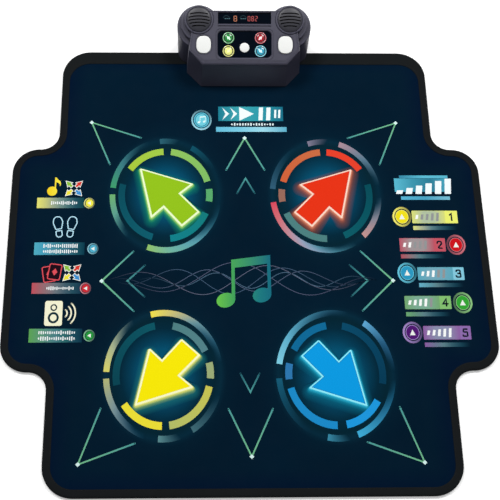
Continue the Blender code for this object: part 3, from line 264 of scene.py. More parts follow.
def rounded(corners, radius, steps=6, closed=True):
    """A line with its corners turned round, by one radius or one for each corner."""
    radii = radius if isinstance(radius, (list, tuple)) else [radius] * len(corners)
    line = []
    for i, corner in enumerate(corners):
        corner = Vector(corner)
        if not closed and i in (0, len(corners) - 1):
            line.append(tuple(corner))
            continue
        before = Vector(corners[i - 1]) - corner
        after = Vector(corners[(i + 1) % len(corners)]) - corner
        half = before.angle(after) / 2
        reach = min(radii[i] / math.tan(half), 0.48 * before.length, 0.48 * after.length)
        start = corner + before.normalized() * reach
        end = corner + after.normalized() * reach
        for k in range(steps + 1):
            t = k / steps
            straight = start.lerp(end, t)
            if half > math.radians(89):
                line.append(tuple(straight))
                continue
            centre = corner + (start + end - 2 * corner).normalized() * (reach / math.cos(half))
            spoke = (start - centre).length
            line.append(tuple(centre + (straight - centre).normalized() * spoke))
    return line


def box_outline(x_low, x_high, y_low, y_high, corner=0.0, steps=6):
    """A rectangle, with round corners where a radius is given."""
    corners = [(x_low, y_low), (x_high, y_low), (x_high, y_high), (x_low, y_high)]
    return rounded(corners, corner, steps) if corner else corners


def mat_outline(inset, hem_inset, fine=8):
    """The mat's outline, moved in by inset, and by hem_inset along the back."""
    end_x = END_WIDTH / 2 - END_CORNER
    lobe_x, lobe_y = MAT_WIDTH / 2 - LOBE_CORNER, LOBE_DEPTH / 2 - LOBE_CORNER
    shoulder_x, shoulder_y = END_WIDTH / 2 + SHOULDER, LOBE_DEPTH / 2 + SHOULDER
    end, lobe, shoulder = END_CORNER - inset, LOBE_CORNER - inset, SHOULDER + inset
    right = arc((end_x, END_CORNER - BACK_Y), end, -90, 0, 3 * fine)
    right += arc((shoulder_x, -shoulder_y), shoulder, 180, 90, 2 * fine)
    right += arc((lobe_x, -lobe_y), lobe, -90, 0, 2 * fine)
    right += arc((lobe_x, lobe_y), lobe, 0, 90, 2 * fine)
    right += arc((shoulder_x, shoulder_y), shoulder, 270, 180, 2 * fine)
    right += arc((end_x, BACK_Y - hem_inset - end), end, 0, 90, 3 * fine)
    return mirrored(right)


def spaced(line, pitch, closed=True):
    """The same line with points about a pitch apart."""
    points = [Vector(p) for p in line]
    if closed:
        points.append(points[0])
    lengths = [0.0]
    for a, b in zip(points, points[1:]):
        lengths.append(lengths[-1] + (b - a).length)
    count = max(3, round(lengths[-1] / pitch))
    result = []
    i = 0
    for k in range(count if closed else count + 1):
        target = lengths[-1] * k / count
        while i < len(points) - 2 and lengths[i + 1] < target:
            i += 1
        share = (target - lengths[i]) / max(lengths[i + 1] - lengths[i], 1e-9)
        result.append(tuple(points[i].lerp(points[i + 1], min(1.0, share))))
    return result


def area_of(outline):
    """The area inside an outline, below zero where it runs clockwise."""
    return sum(a[0] * b[1] - b[0] * a[1] for a, b in zip(outline, outline[1:] + outline[:1])) / 2


def bends(outline):
    """Each point of a closed outline, with the direction into it and the one out of it."""
    points = [Vector(p) for p in outline]
    for i, point in enumerate(points):
        yield point, (point - points[i - 1]).normalized(), (points[(i + 1) % len(points)] - point).normalized()


def grown(outline, distance):
    """An outline moved outwards, with its corners kept."""
    turn = math.copysign(1, area_of(outline))
    result = []
    for point, a, b in bends(outline):
        side = Vector((a.y, -a.x)) * turn
        out = side + Vector((b.y, -b.x)) * turn
        out = (side if out.length < 1e-6 else out).normalized()
        result.append(tuple(point + out * (distance / max(0.35, out.dot(side)))))
    return result


def mirrored(right):
    """A line with its mirror image across X = 0."""
    return right + [(-x, y) for x, y in reversed(right)]


def turned(line, turn, x, y, size=1.0):
    """A flat line turned by degrees, scaled, and moved to x, y."""
    c, s = math.cos(math.radians(turn)), math.sin(math.radians(turn))
    return [(x + (u * c - v * s) * size, y + (u * s + v * c) * size) for u, v in line]


def arrow_outline(half_length):
    """A block arrow along +X: a broad head on a square shaft."""
    k = half_length / 0.0705
    half = [(0.0705 * k, 0.0), (-0.0189 * k, 0.0512 * k), (-0.0180 * k, 0.0200 * k), (-0.0705 * k, 0.0210 * k)]
    return [(x, -y) for x, y in reversed(half[1:])] + half


# Solids: closed meshes made of rings of points

def ring(outline, z):
    """An outline laid at one height."""
    return [Vector((x, y, z)) for x, y in outline]


def panel_ring(outline, depth):
    """An outline on the tilted panel, depth above its face."""
    return [PANEL @ Vector((x, y, depth)) for x, y in outline]


def in_box(points):
    """Points drawn about X = 0, moved to the control box."""
    return [Vector((point.x + BOX_X, point.y, point.z)) for point in points]


def finish(bm):
    """The same mesh in triangles that point out."""
    bm.normal_update()
    bmesh.ops.triangulate(bm, faces=bm.faces)
    bmesh.ops.recalc_face_normals(bm, faces=bm.faces)
    if bm.calc_volume(signed=True) < 0:
        bmesh.ops.reverse_faces(bm, faces=bm.faces)
    return bm


def loft(rings, closed=False):
    """A solid through rings, capped at both ends or closed on itself."""
    bm = bmesh.new()
    rows = [[bm.verts.new(point) for point in points] for points in rings]
    for lower, upper in zip(rows, rows[1:] + (rows[:1] if closed else [])):
        for i in range(len(lower)):
            bm.faces.new((lower[i - 1], lower[i], upper[i], upper[i - 1]))
    if not closed:
        bm.faces.new(rows[0])
        bm.faces.new(rows[-1])
    return finish(bm)


def lathe(profile, steps=96, closed=False):
    """A solid about the Z axis through radii and heights."""
    return loft([ring(oval(0, 0, radius, radius, 2.0, steps), z) for radius, z in profile], closed)


def panel_loft(rows, closed=False):
    """A solid through outlines on the tilted panel, each with its depth."""
    return loft([panel_ring(outline, depth) for outline, depth in rows], closed)


def plate(outline, z_low, z_high, holes=(), sunk=(), sunk_z=0.0):
    """A plate with holes through it, and areas of its top sunk or raised to sunk_z."""
    bm = bmesh.new()
    loops = {z_low: [], z_high: []}
    for line, low, high in ([(line, z_low, z_high) for line in (outline, *holes)]
                            + [(line, z_high, sunk_z) for line in sunk]):
        rows = [[bm.verts.new((x, y, z)) for x, y in line] for z in (low, high)]
        for i in range(len(line)):
            bm.faces.new((rows[0][i - 1], rows[0][i], rows[1][i], rows[1][i - 1]))
        loops[low].append(rows[0])
        if high == z_high:
            loops[high].append(rows[1])
        else:
            bm.faces.new(rows[1])
    for rows in loops.values():
        edges = [bm.edges.get((row[i - 1], row[i])) for row in rows for i in range(len(row))]
        bmesh.ops.triangle_fill(bm, use_beauty=True, edges=edges)
    return finish(bm)


def block(x_low, x_high, y_low, y_high, z_low, z_high):
    """A plain block."""
    return loft([ring(box_outline(x_low, x_high, y_low, y_high), z) for z in (z_low, z_high)])


def placed(bm, matrix):
    """The same mesh in another place."""
    bm.transform(matrix)
    return finish(bm)


# Pieces

def linked(name, data):
    """An object in the scene that holds the data."""
    thing = bpy.data.objects.new(name, data)
    bpy.context.scene.collection.objects.link(thing)
    return thing


def smoothed(mesh, angle):
    """Makes a mesh smooth except where its faces turn by more than the angle."""
    mesh.shade_smooth()
    mesh.set_sharp_from_angle(angle=math.radians(angle))


def make_piece(name, bm, materials, smooth=35):
    """An object at the origin, smooth except where its faces turn by more than the angle."""
    mesh = bpy.data.meshes.new(name)
    bm.to_mesh(mesh)
    bm.free()
    for material in materials if isinstance(materials, list) else [materials]:
        mesh.materials.append(material)
    smoothed(mesh, smooth)
    return linked(name, mesh)


def fitted(name, bm, materials, body, slot, *replaced, smooth=35):
    """A finished piece that rides a body and stands for its CAD nodes; its slot is not used."""
    return stands_in(make_piece(name, bm, materials, smooth), body, slot, *replaced)


def stands_in(piece, body, slot, *replaced):
    """The same piece, riding its body, with the CAD nodes it stands for; its slot is not used."""
    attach(piece, body)
    if replaced:
        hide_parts(*replaced)
    return piece


def applied(piece):
    """The piece with its modifiers made into its mesh."""
    mesh = bpy.data.meshes.new_from_object(piece.evaluated_get(bpy.context.evaluated_depsgraph_get()))
    piece.modifiers.clear()
    old = piece.data
    piece.data = mesh
    bpy.data.meshes.remove(old)
    mesh.name = piece.name
    return piece


def combine(piece, operation, shapes):
    """An exact Boolean with several shapes, made into the mesh."""
    group = bpy.data.collections.new(f"{piece.name} {operation.lower()}")
    for number, bm in enumerate(shapes):
        mesh = bpy.data.meshes.new(f"{group.name} {number}")
        bm.to_mesh(mesh)
        bm.free()
        group.objects.link(bpy.data.objects.new(mesh.name, mesh))
    modifier = piece.modifiers.new(group.name, "BOOLEAN")
    modifier.operation = operation
    modifier.solver = "EXACT"
    modifier.operand_type = "COLLECTION"
    modifier.collection = group
    piece.modifiers.new("weld", "WELD").merge_threshold = 0.00001
    bpy.context.view_layer.update()
    applied(piece)
    for tool in list(group.objects):
        mesh = tool.data
        bpy.data.objects.remove(tool)
        bpy.data.meshes.remove(mesh)
    bpy.data.collections.remove(group)
    return piece


def laid_balls(name, points, ball, sizes, axes, material, loop=False):
    """Shaped balls laid by nodes on points, or a pitch apart round a loop of points, made plain."""
    mesh = bpy.data.meshes.new(name)
    mesh.from_pydata(points, [(i, (i + 1) % len(points)) for i in range(len(points))] if loop else [], [])
    piece = linked(name, mesh)

    tree = bpy.data.node_groups.new(name, "GeometryNodeTree")
    tree.interface.new_socket("Geometry", in_out="INPUT", socket_type="NodeSocketGeometry")
    for size in sizes:
        tree.interface.new_socket(size, in_out="INPUT", socket_type="NodeSocketFloat")
    tree.interface.new_socket("Geometry", in_out="OUTPUT", socket_type="NodeSocketGeometry")
    given = add(tree, "NodeGroupInput")
    spots = {"Points": given.outputs["Geometry"]}
    if loop:
        path = add(tree, "GeometryNodeMeshToCurve", {"Mesh": given.outputs["Geometry"]})
        steps = add(tree, "GeometryNodeCurveToPoints", {"Curve": path, "Length": given.outputs["Pitch"]},
                    mode="LENGTH")
        spots = {key: steps.outputs[key] for key in ("Points", "Rotation")}
    round_ball = add(tree, "GeometryNodeMeshUVSphere", dict(zip(("Segments", "Rings", "Radius"), ball)))
    scale = add(tree, "ShaderNodeCombineXYZ", {axis: given.outputs[size] for axis, size in zip("XYZ", axes)})
    shaped = add(tree, "GeometryNodeTransform", {"Geometry": round_ball, "Scale": scale})
    laid = add(tree, "GeometryNodeInstanceOnPoints", {"Instance": shaped, **spots})
    real = add(tree, "GeometryNodeRealizeInstances", {"Geometry": laid})
    smooth = add(tree, "GeometryNodeSetShadeSmooth", {"Geometry": real})
    dressed = add(tree, "GeometryNodeSetMaterial", {"Geometry": smooth, "Material": material})
    add(tree, "NodeGroupOutput", {"Geometry": dressed})

    modifier = piece.modifiers.new(name, "NODES")
    modifier.node_group = tree
    for item in tree.interface.items_tree:
        if item.in_out == "INPUT" and item.name in sizes:
            modifier[item.identifier] = sizes[item.name]
    bpy.context.view_layer.update()
    return applied(piece)


# Finishes of the mat

# Each printed target: its step pad, centre, half sizes, arrow's centre, turn and ink
TARGETS = (("step_pad_back_left", (-0.1562, 0.1255), (0.1068, 0.1214), (-0.1568, 0.1276), 132.1, "93C21C"),
           ("step_pad_back_right", (0.1495, 0.1250), (0.1072, 0.1210), (0.1529, 0.1262), 47.4, "E63315"),
           ("step_pad_front_left", (-0.1570, -0.2292), (0.1070, 0.1220), (-0.1569, -0.2309), -132.5, "FCEC06"),
           ("step_pad_front_right", (0.1500, -0.2300), (0.1072, 0.1216), (0.1540, -0.2337), -47.9, "0A9CE4"))

# The glow round a target: how far out, as a share of the ramp, its colour and how much it covers
GLOW = ((0.0, "04587A", 1.0), (0.24, "044E6C", 1.0), (0.34, "033C55", 0.95), (0.44, "022A3C", 0.9),
        (0.54, "032532", 0.9), (0.60, "052C3E", 0.8), (0.66, "022031", 0.5), (0.85, "021D2F", 0.0))


def crossing_threads(tree, place, pitch, distortion):
    """Two sets of threads that cross, as the height of the cloth."""
    threads = [add(tree, "ShaderNodeTexWave", {"Vector": place, "Scale": 0.314 / pitch, "Distortion": distortion,
                                               "Detail": 1.0}, bands_direction=axis).outputs["Fac"] for axis in "XY"]
    return add(tree, "ShaderNodeMath", dict(enumerate(threads)), operation="MULTIPLY")


def printed_vinyl():
    """PVC film printed on cloth: deep blue ink with a printed glow round the targets, painted shade along the tape,
    and the shapes' own inks on it.

    The weave under the film shows as a fine relief. Its 0.9 mm threads are drawn at 2.4 mm so that they show.
    """
    material, tree, shader, place = start_material("printed_vinyl", 0.72, Specular_IOR_Level=0.02)
    cloud = add(tree, "ShaderNodeTexNoise", {"Vector": place, "Scale": 5.0, "Detail": 3.0})
    colour = add(tree, "ShaderNodeMix", {"Factor": cloud, "A": linear("011626"), "B": linear("021D30")},
                 data_type="RGBA")
    axes = add(tree, "ShaderNodeSeparateXYZ", {"Vector": place})
    across = add(tree, "ShaderNodeMath", {0: axes.outputs["X"]}, operation="ABSOLUTE")
    along = add(tree, "ShaderNodeMath", {0: axes.outputs["Y"]}, operation="ABSOLUTE")
    # Painted shade along the tape: the ink darkens to 01142B over the 35 mm inside the tape's inner edge.
    tape_shade_distances = []
    for half_x, half_y in ((END_WIDTH / 2, BACK_Y), (MAT_WIDTH / 2, LOBE_DEPTH / 2)):
        left = add(tree, "ShaderNodeMath", {0: half_x - BORDER_WIDTH, 1: across}, operation="SUBTRACT")
        front = add(tree, "ShaderNodeMath", {0: half_y - BORDER_WIDTH, 1: along}, operation="SUBTRACT")
        tape_shade_distances.append(add(tree, "ShaderNodeMath", {0: left, 1: front, 2: 0.03}, operation="SMOOTH_MIN"))
    tape_shade_distance = add(tree, "ShaderNodeMath", {0: tape_shade_distances[0], 1: tape_shade_distances[1], 2: 0.03}, operation="SMOOTH_MAX")
    # The painted shade's mask: 0 at the tape's inner edge, 1 from 35 mm in.
    edge = add(tree, "ShaderNodeMapRange", {"Value": tape_shade_distance, "From Min": 0.0, "From Max": 0.035})
    colour = add(tree, "ShaderNodeMix", {"Factor": edge, "A": linear("01142B"), "B": colour}, data_type="RGBA")
    for _, centre, half, *_ in TARGETS:
        local = add(tree, "ShaderNodeMapping",
                    {"Vector": place, "Location": (centre[0], centre[1], 0.0), "Scale": (*half, 1.0)},
                    vector_type="TEXTURE")
        flat = add(tree, "ShaderNodeVectorMath", {0: local, 1: (1.0, 1.0, 0.0)}, operation="MULTIPLY")
        reach = add(tree, "ShaderNodeVectorMath", {0: flat}, operation="LENGTH")
        share = add(tree, "ShaderNodeMath", {0: reach.outputs["Value"], 1: 0.625}, operation="MULTIPLY")
        glow = add(tree, "ShaderNodeValToRGB", {"Fac": share},
                   stops=[(stop, linear(code, alpha)) for stop, code, alpha in GLOW])
        colour = add(tree, "ShaderNodeMix", {"Factor": glow.outputs["Alpha"], "A": colour, "B": glow},
                     data_type="RGBA")
    ink = add(tree, "ShaderNodeAttribute", attribute_name="ink")
    cover = add(tree, "ShaderNodeAttribute", attribute_name="cover")
    colour = add(tree, "ShaderNodeMix", {"Factor": cover.outputs["Fac"], "A": colour, "B": ink.outputs["Color"]},
                 data_type="RGBA")
    weave = crossing_threads(tree, place, 0.0024, 0.6)
    relief = add(tree, "ShaderNodeBump", {"Height": weave, "Strength": 0.35, "Distance": 0.00012})
    wear = add(tree, "ShaderNodeTexNoise", {"Vector": place, "Scale": 38.0, "Detail": 4.0})
    gloss = add(tree, "ShaderNodeMapRange", {"Value": wear, "From Min": 0.3, "From Max": 0.7,
                                             "To Min": 0.66, "To Max": 0.78})
    join(tree, shader, {"Base Color": colour, "Roughness": gloss, "Normal": relief})
    return material


def woven(name, base, shade, pitch, depth, roughness=0.85):
    """Cloth: two sets of crossing threads a pitch apart, with a painted highlight where they rise, and a soft sheen.
    """
    material, tree, shader, place = start_material(name, roughness, Specular_IOR_Level=0.12, Sheen_Weight=0.02,
                                                   Sheen_Roughness=0.5)
    slant = add(tree, "ShaderNodeMapping", {"Vector": place, "Rotation": (0.0, 0.0, math.radians(45))})
    weave = crossing_threads(tree, slant, pitch, 0.5)
    patch = add(tree, "ShaderNodeTexNoise", {"Vector": place, "Scale": 25.0, "Detail": 4.0})
    # Painted highlight: the colour turns towards the second, paler colour where the threads rise, in soft patches.
    painted_thread_highlight = add(tree, "ShaderNodeMath", {0: weave, 1: patch}, operation="MULTIPLY")
    colour = add(tree, "ShaderNodeMix", {"Factor": painted_thread_highlight, "A": linear(base), "B": linear(shade)},
                 data_type="RGBA")
    relief = add(tree, "ShaderNodeBump", {"Height": weave, "Strength": 0.6, "Distance": depth})
    join(tree, shader, {"Base Color": colour, "Normal": relief})
    return material


# The mat

def pad_table():
    """Each pad's centre, half sizes and squareness."""
    pads = {}
    for end, y in (("back", 0.1255), ("front", -0.2295)):
        for side, x in (("left", -0.1565), ("right", 0.1505)):
            pads[f"step_pad_{end}_{side}"] = (x, y, 0.108, 0.1225, 2.0)
    pads["start_pad"] = (-0.011, 0.293, 0.101, 0.037, 8.0)
    for i, (y, depth) in enumerate(((0.1275, 0.071), (0.0404, 0.090), (-0.0460, 0.070), (-0.1306, 0.086))):
        pads[f"mode_pad_{i + 1}"] = (-0.341, y, 0.064, depth / 2, 8.0)
    for i in range(5):
        pads[f"level_pad_{i + 1}"] = (0.3421, 0.0754 - 0.0578 * i, 0.07025, 0.026, 6.0)
    return pads


def pad_outline(pad, grow=0.0):
    """A pad's edge, or the cut round it."""
    x, y, half_width, half_depth, power = pad
    return oval(x, y, half_width + grow, half_depth + grow, power, 144)


def edge_point(point, out, inset, hem):
    """A point moved in from the mat's edge, further along the hem at the back."""
    share = min(1.0, max(0.0, (point[1] - 0.30) / 0.09))
    share = share * share * (3 - 2 * share)
    return point[0] - out[0] * inset, point[1] - out[1] * inset - (hem - inset) * share


def edge_samples(pitch):
    """Points round the mat's edge with their outward directions."""
    line = spaced(mat_outline(0.0, 0.0, 16), pitch)
    samples = []
    for i, point in enumerate(line):
        along = (Vector(line[(i + 1) % len(line)]) - Vector(line[i - 1])).normalized()
        samples.append((point, (along.y, -along.x)))
    return samples


def make_sheet(pads, vinyl):
    """The printed sheet, cut round each pad, round the hem's screws and round the films' tail."""
    outline = mat_outline(SHEET_TUCK, SHEET_TUCK, 10)
    cuts = [pad_outline(pad, PAD_GAP) for pad in pads.values()]
    small = [oval(BOX_X + side * HEM_SCREW_X, HEM_SCREW_Y, 0.0018, 0.0018, 2.0, 24) for side in (-1, 1)]
    small.append(box_outline(BOX_X - 0.0115, BOX_X + 0.0115, 0.4035, 0.4050))
    sheet = fitted("printed_sheet", plate(outline, SHEET_UNDER, MAT_TOP, cuts + small), vinyl, ROOT, "mat_print",
                   "top_sheet")
    area = area_of(outline) - sum(area_of(cut) for cut in cuts)


def make_pads(pads, vinyl):
    """The parts of the printed sheet that give under a foot, each a disc cut closely."""
    for name, pad in pads.items():
        rings = [ring(pad_outline(pad), z) for z in (FILM_Z, MAT_TOP)]
        disc = fitted(f"{name}_disc", loft(rings), vinyl, name, "mat_print", name, smooth=20)
        area_of(pad_outline(pad))


def make_tape(cloth, thread):
    """The tape folded round the mat's edge, drawn in a little by its stitches, and the stitches."""
    def rolled(radius, centre_z, low):
        """A quarter turn of the tape's fold, on the floor side or on the top side."""
        angles = [math.radians(a) for a in range(0, 91, 15)]
        if low:
            return [(TAPE_EDGE - radius * math.sin(a), centre_z - radius * math.cos(a)) for a in angles]
        return [(TAPE_EDGE - radius * math.cos(a), centre_z + radius * math.sin(a)) for a in angles]

    top, bend_z = TAPE_TOP, TAPE_TOP - TAPE_FOLD
    inside = TAPE_FOLD - TAPE_THICKNESS
    outer = [(BORDER_WIDTH, 0.0), (0.0095, 0.0), *rolled(TAPE_FOLD, TAPE_FOLD, True),
             *rolled(TAPE_FOLD, bend_z, False), (TAPE_FLAT, top - 0.00002), (0.0115, top - 0.00008),
             (SEAM_INSET, top - 0.00018), (0.0145, top - 0.0001), (BORDER_WIDTH, top - 0.0003)]
    inner = [(BORDER_WIDTH, MAT_TOP + 0.00012), (TAPE_FLAT, MAT_TOP + 0.00022), *rolled(inside, bend_z, False)[::-1],
             *rolled(inside, TAPE_FOLD, True)[::-1], (TAPE_FLAT, TAPE_THICKNESS), (BORDER_WIDTH, TAPE_THICKNESS)]
    samples = edge_samples(0.0045)
    dice = random.Random(5)
    puckers = [dice.uniform(-1, 1) for _ in samples]
    rings = []
    for inset, z in outer + inner:
        flat_share = max(0.0, inset - TAPE_FLAT) / (BORDER_WIDTH - TAPE_FLAT)
        hem = inset + (HEM_WIDTH - BORDER_WIDTH) * flat_share
        row = []
        for i, (point, out) in enumerate(samples):
            x, y = edge_point(point, out, inset, hem)
            lift = 0.0
            if z > MAT_TOP and 0.004 < inset < 0.0149:
                lift = 0.00006 * math.sin(i * 2.4) + 0.00003 * puckers[i]
            row.append(Vector((x, y, z + lift)))
        rings.append(row)
    tape = fitted("folded_tape", loft(rings, closed=True), cloth, ROOT, "binding_tape", "edge_binding", smooth=60)

    row = [(*edge_point(point, out, SEAM_INSET, SEAM_HEM_INSET), top - 0.0001) for point, out in samples]
    sizes = {"Pitch": 0.0040, "Length": 0.0029, "Thickness": 0.00065, "Rise": 0.00022}
    seam = laid_balls("tape_stitches", row, (6, 5, 0.5), sizes, ("Thickness", "Rise", "Length"), thread, loop=True)
    stands_in(seam, ROOT, "binding_tape")


# The mat's printed shapes

def inks_of(text):
    """The inks that a text names: each a linear colour and how much it covers, which is 1 where no colon gives it."""
    parts = [part.partition(":") for part in text.split()]
    return [(linear(code), float(cover or 1)) for code, _, cover in parts]


def blend(inks, share):
    """The ink at a share of the way through a list of inks."""
    at = share * (len(inks) - 1)
    i = max(0, min(len(inks) - 2, int(at)))
    (a, a_cover), (b, b_cover) = inks[i], inks[min(i + 1, len(inks) - 1)]
    return tuple(x + (y - x) * (at - i) for x, y in zip(a, b)), a_cover + (b_cover - a_cover) * (at - i)


class Artwork:
    """Printed shapes as thin closed plates, which carry their ink's colour and cover at each point."""

    def __init__(self):
        self.bm = bmesh.new()
        self.ink = self.bm.verts.layers.float_color.new("ink")
        self.cover = self.bm.verts.layers.float.new("cover")

    def layers(self, rows, inks, level):
        """The rows of points on top of a plate and those under it, each point with its ink."""
        for lift in (PRINT_LIFT + PRINT_STEP * level, PRINT_UNDER):
            layer = []
            for row, row_inks in zip(rows, inks):
                layer.append([self.bm.verts.new((*place, MAT_TOP + lift)) for place in row])
                for vert, ink in zip(layer[-1], row_inks):
                    vert[self.ink], vert[self.cover] = ink
            yield layer

    def grid(self, rows, inks, level, closed=False):
        """A plate between lines side by side, each with as many points as the others."""
        top, under = self.layers(rows, inks, level)
        spans = range(0 if closed else 1, len(rows[0]))
        for layer, turn in ((top, 1), (under, -1)):
            for a, b in zip(layer, layer[1:]):
                for i in spans:
                    self.bm.faces.new((a[i - 1], a[i], b[i], b[i - 1])[::turn])
        for row, turn in ((0, -1), (-1, 1)):
            for i in spans:
                self.bm.faces.new((top[row][i - 1], top[row][i], under[row][i], under[row][i - 1])[::turn])
        if not closed:
            for i, turn in ((0, 1), (-1, -1)):
                for r in range(1, len(rows)):
                    self.bm.faces.new((top[r - 1][i], top[r][i], under[r][i], under[r - 1][i])[::turn])

    def fill(self, outline, ink, level):
        """A plate with one outline, whose ink is one text or a rule for each point."""
        inks = [ink(point) for point in outline] if callable(ink) else inks_of(ink) * len(outline)
        (top,), (under,) = self.layers([outline], [inks], level)
        self.bm.faces.new(top)
        self.bm.faces.new(under[::-1])
        for i in range(len(outline)):
            self.bm.faces.new((top[i], top[i - 1], under[i - 1], under[i]))

    def bands(self, rows, inks, level):
        """Closed bands between rows, each row of one ink."""
        self.grid(rows, [inks_of(ink) * len(rows[0]) for ink in inks], level, closed=True)

    def rings(self, outline, stops, level):
        """Bands round an outline: each stop is how far out it is, and its ink."""
        self.bands([grown(outline, distance) for distance, _ in stops], [ink for _, ink in stops], level)

    def rim(self, outline, ink, level):
        """A line of one ink along an outline."""
        self.rings(outline, [(0.0009, ink), (-0.0011, ink)], level)

    def stroke(self, line, width, inks, level, round_ends=True):
        """A line of a width, whose ink runs from the first to the last along it."""
        points = [Vector(p) for p in line]
        sides = [[], []]
        lengths = [0.0]
        for i, point in enumerate(points):
            a = (point - points[i - 1] if i else points[1] - point).normalized()
            b = (points[i + 1] - point).normalized() if i < len(points) - 1 else a
            out = Vector((a.y + b.y, -a.x - b.x)).normalized()
            reach = out * (0.5 * width / max(0.5, out.dot(Vector((a.y, -a.x)))))
            sides[0].append(tuple(point - reach))
            sides[1].append(tuple(point + reach))
            if i:
                lengths.append(lengths[-1] + (point - points[i - 1]).length)
        tones = [blend(inks_of(inks), length / lengths[-1]) for length in lengths]
        self.grid(sides, [tones, tones], level)
        for end in (0, -1) if round_ends else ():
            self.fill(oval(*line[end], width / 2, width / 2, 2.0, 12), lambda _: tones[end], level)

    def bar(self, x_low, x_high, y_low, y_high, inks, level):
        """A bar whose ink runs from left to right."""
        columns = [x_low + (x_high - x_low) * i / 12 for i in range(13)]
        tones = [blend(inks_of(inks), i / 12) for i in range(13)]
        self.grid([[(x, y) for x in columns] for y in (y_low, y_high)], [tones, tones], level)

    def dash(self, x, y_low, y_high, width, lean, ink, level):
        """A block of one ink that leans to the right."""
        self.fill([(x, y_low), (x + width, y_low), (x + width + lean, y_high), (x + lean, y_high)], ink, level)

    def signal_row(self, x_low, x_high, y, height, count, ink, level):
        """A row of small upright bars of uneven height, as on a sound meter."""
        dice = random.Random(round(1000 * (x_low + y)))
        pitch = (x_high - x_low) / count
        for i in range(count):
            half = height * (0.35 + 0.65 * dice.random()) / 2
            x = x_low + pitch * (i + 0.5)
            self.fill(box_outline(x - pitch * 0.27, x + pitch * 0.27, y - half, y + half), ink, level)

    def disc(self, x, y, half_x, half_y, ink, level):
        """An oval of one ink."""
        self.fill(oval(x, y, half_x, half_y, 2.0, 48), ink, level)

    def crescent(self, x, y, half_x, half_y, share, ink, bright, level):
        """An oval band, brightest in one direction and fading on the other side."""
        colour = linear(ink)
        tones = [(colour, 0.625 + 0.375 * math.cos(math.tau * i / 48 - math.radians(bright))) for i in range(48)]
        self.grid([oval(x, y, half_x * k, half_y * k, 2.0, 48) for k in (share, 1.0)], [tones, tones], level,
                  closed=True)

    def numeral(self, number, x, y, height, ink, level, width):
        """A plain numeral drawn with strokes, its lower left corner at x, y."""
        for corners, radius in NUMERALS[number]:
            line = rounded(corners, radius, 4, closed=False) if radius else corners
            self.stroke(turned(line, 0, x, y, height / 1.6), width, ink, level)

    def note(self, x, y, size, inks, level, beamed=False, fat=1.0):
        """A music note: its head, its stem, and a flag or a second beamed note."""
        tones = inks_of(inks)
        span = 1.7 if beamed else 0.9
        if beamed:
            heads = [(0.0, 0.0), (0.95, 0.14)]
            stems = [(0.20, 0.0, 1.12), (1.15, 0.14, 1.26)]
            tail = [(0.155, 0.90), (1.195, 1.04), (1.195, 1.28), (0.155, 1.14)]
        else:
            heads = [(0.0, 0.0)]
            stems = [(0.20, 0.0, 1.00)]
            tail = [(0.17, 1.00), (0.26, 0.98), (0.36, 0.84), (0.52, 0.72), (0.56, 0.50), (0.50, 0.34),
                    (0.47, 0.52), (0.36, 0.62), (0.17, 0.66)]

        def ink(point):
            return blend(tones, min(1.0, max(0.0, (point[0] - x + size * 0.3) / (size * span))))

        head = oval(0.0, 0.0, 0.25 * fat, 0.20 * fat * fat, 2.0, 36)
        for u, v in heads:
            self.fill(turned(head, 20, x + u * size, y + v * size, size), ink, level)
        for u, low, high in stems:
            self.fill(turned(box_outline(u - 0.045, u + 0.045, low, high), 0, x, y, size), ink, level + 1)
        self.fill(turned(tail, 0, x, y, size), ink, level + 2)

    def four_arrows(self, x, y, reach):
        """Four little block arrows with white edges that point away from one another."""
        length = reach * 1.18
        for turn, ink in ((135, "8DBF3C"), (45, "D8392E"), (225, "EFE23A"), (-45, "3C8FD0")):
            a = math.radians(turn)
            outline = turned(arrow_outline(length / 2), turn, x + reach * math.cos(a), y + reach * math.sin(a))
            self.fill(grown(outline, length * 0.075), "F4F8F0", 1)
            self.fill(outline, ink, 2)

    def foot_mark(self, x, y, size, turn, ink):
        """The outline of a shoe's print: a sole and a heel."""
        sole = rounded([(-0.26, -0.10), (0.24, -0.10), (0.42, 0.56), (0.26, 1.10), (-0.30, 1.10), (-0.44, 0.56)],
                       [0.08, 0.08, 0.30, 0.34, 0.34, 0.30], 5)
        heel = rounded([(-0.26, -0.26), (0.24, -0.26), (0.27, -0.86), (-0.29, -0.86)], [0.06, 0.06, 0.26, 0.26], 5)
        for line in (sole, heel):
            self.rim(turned(line, turn, x, y, size), ink, 1)

    def card(self, x, y, turn, ink, level):
        """The outline of a playing card with a plain lozenge on it."""
        edge = turned(box_outline(-0.0112, 0.0112, -0.0152, 0.0152, 0.003), turn, x, y)
        self.fill(edge, "200C18", level)
        self.rim(edge, ink, level + 1)
        self.fill(turned([(-0.0050, 0.0), (0.0, -0.0072), (0.0050, 0.0), (0.0, 0.0072)], turn, x, y), ink, level + 1)

    def little_speaker(self, x, y, ink):
        """A pale box loudspeaker with two cones, and sound spreading from it."""
        self.fill(box_outline(x - 0.0160, x + 0.0160, y - 0.0240, y + 0.0240, 0.004), ink, 1)
        for cy, radius in ((y + 0.0110, 0.0062), (y - 0.0085, 0.0100)):
            self.disc(x, cy, radius, radius * 1.08, "15303A", 2)
            self.disc(x, cy, radius * 0.60, radius * 0.65, ink, 3)
        for reach in (0.0080, 0.0155, 0.0230):
            angles = [math.radians(a) for a in range(-48, 49, 8)]
            self.stroke([(x + 0.0165 + reach * math.cos(a), y + reach * 1.1 * math.sin(a)) for a in angles],
                        0.0027, ink, 1)

    def piece(self, name, vinyl, body):
        """The finished print, riding a body."""
        bmesh.ops.recalc_face_normals(self.bm, faces=self.bm.faces)
        return fitted(name, self.bm, vinyl, body, "mat_print", smooth=20)


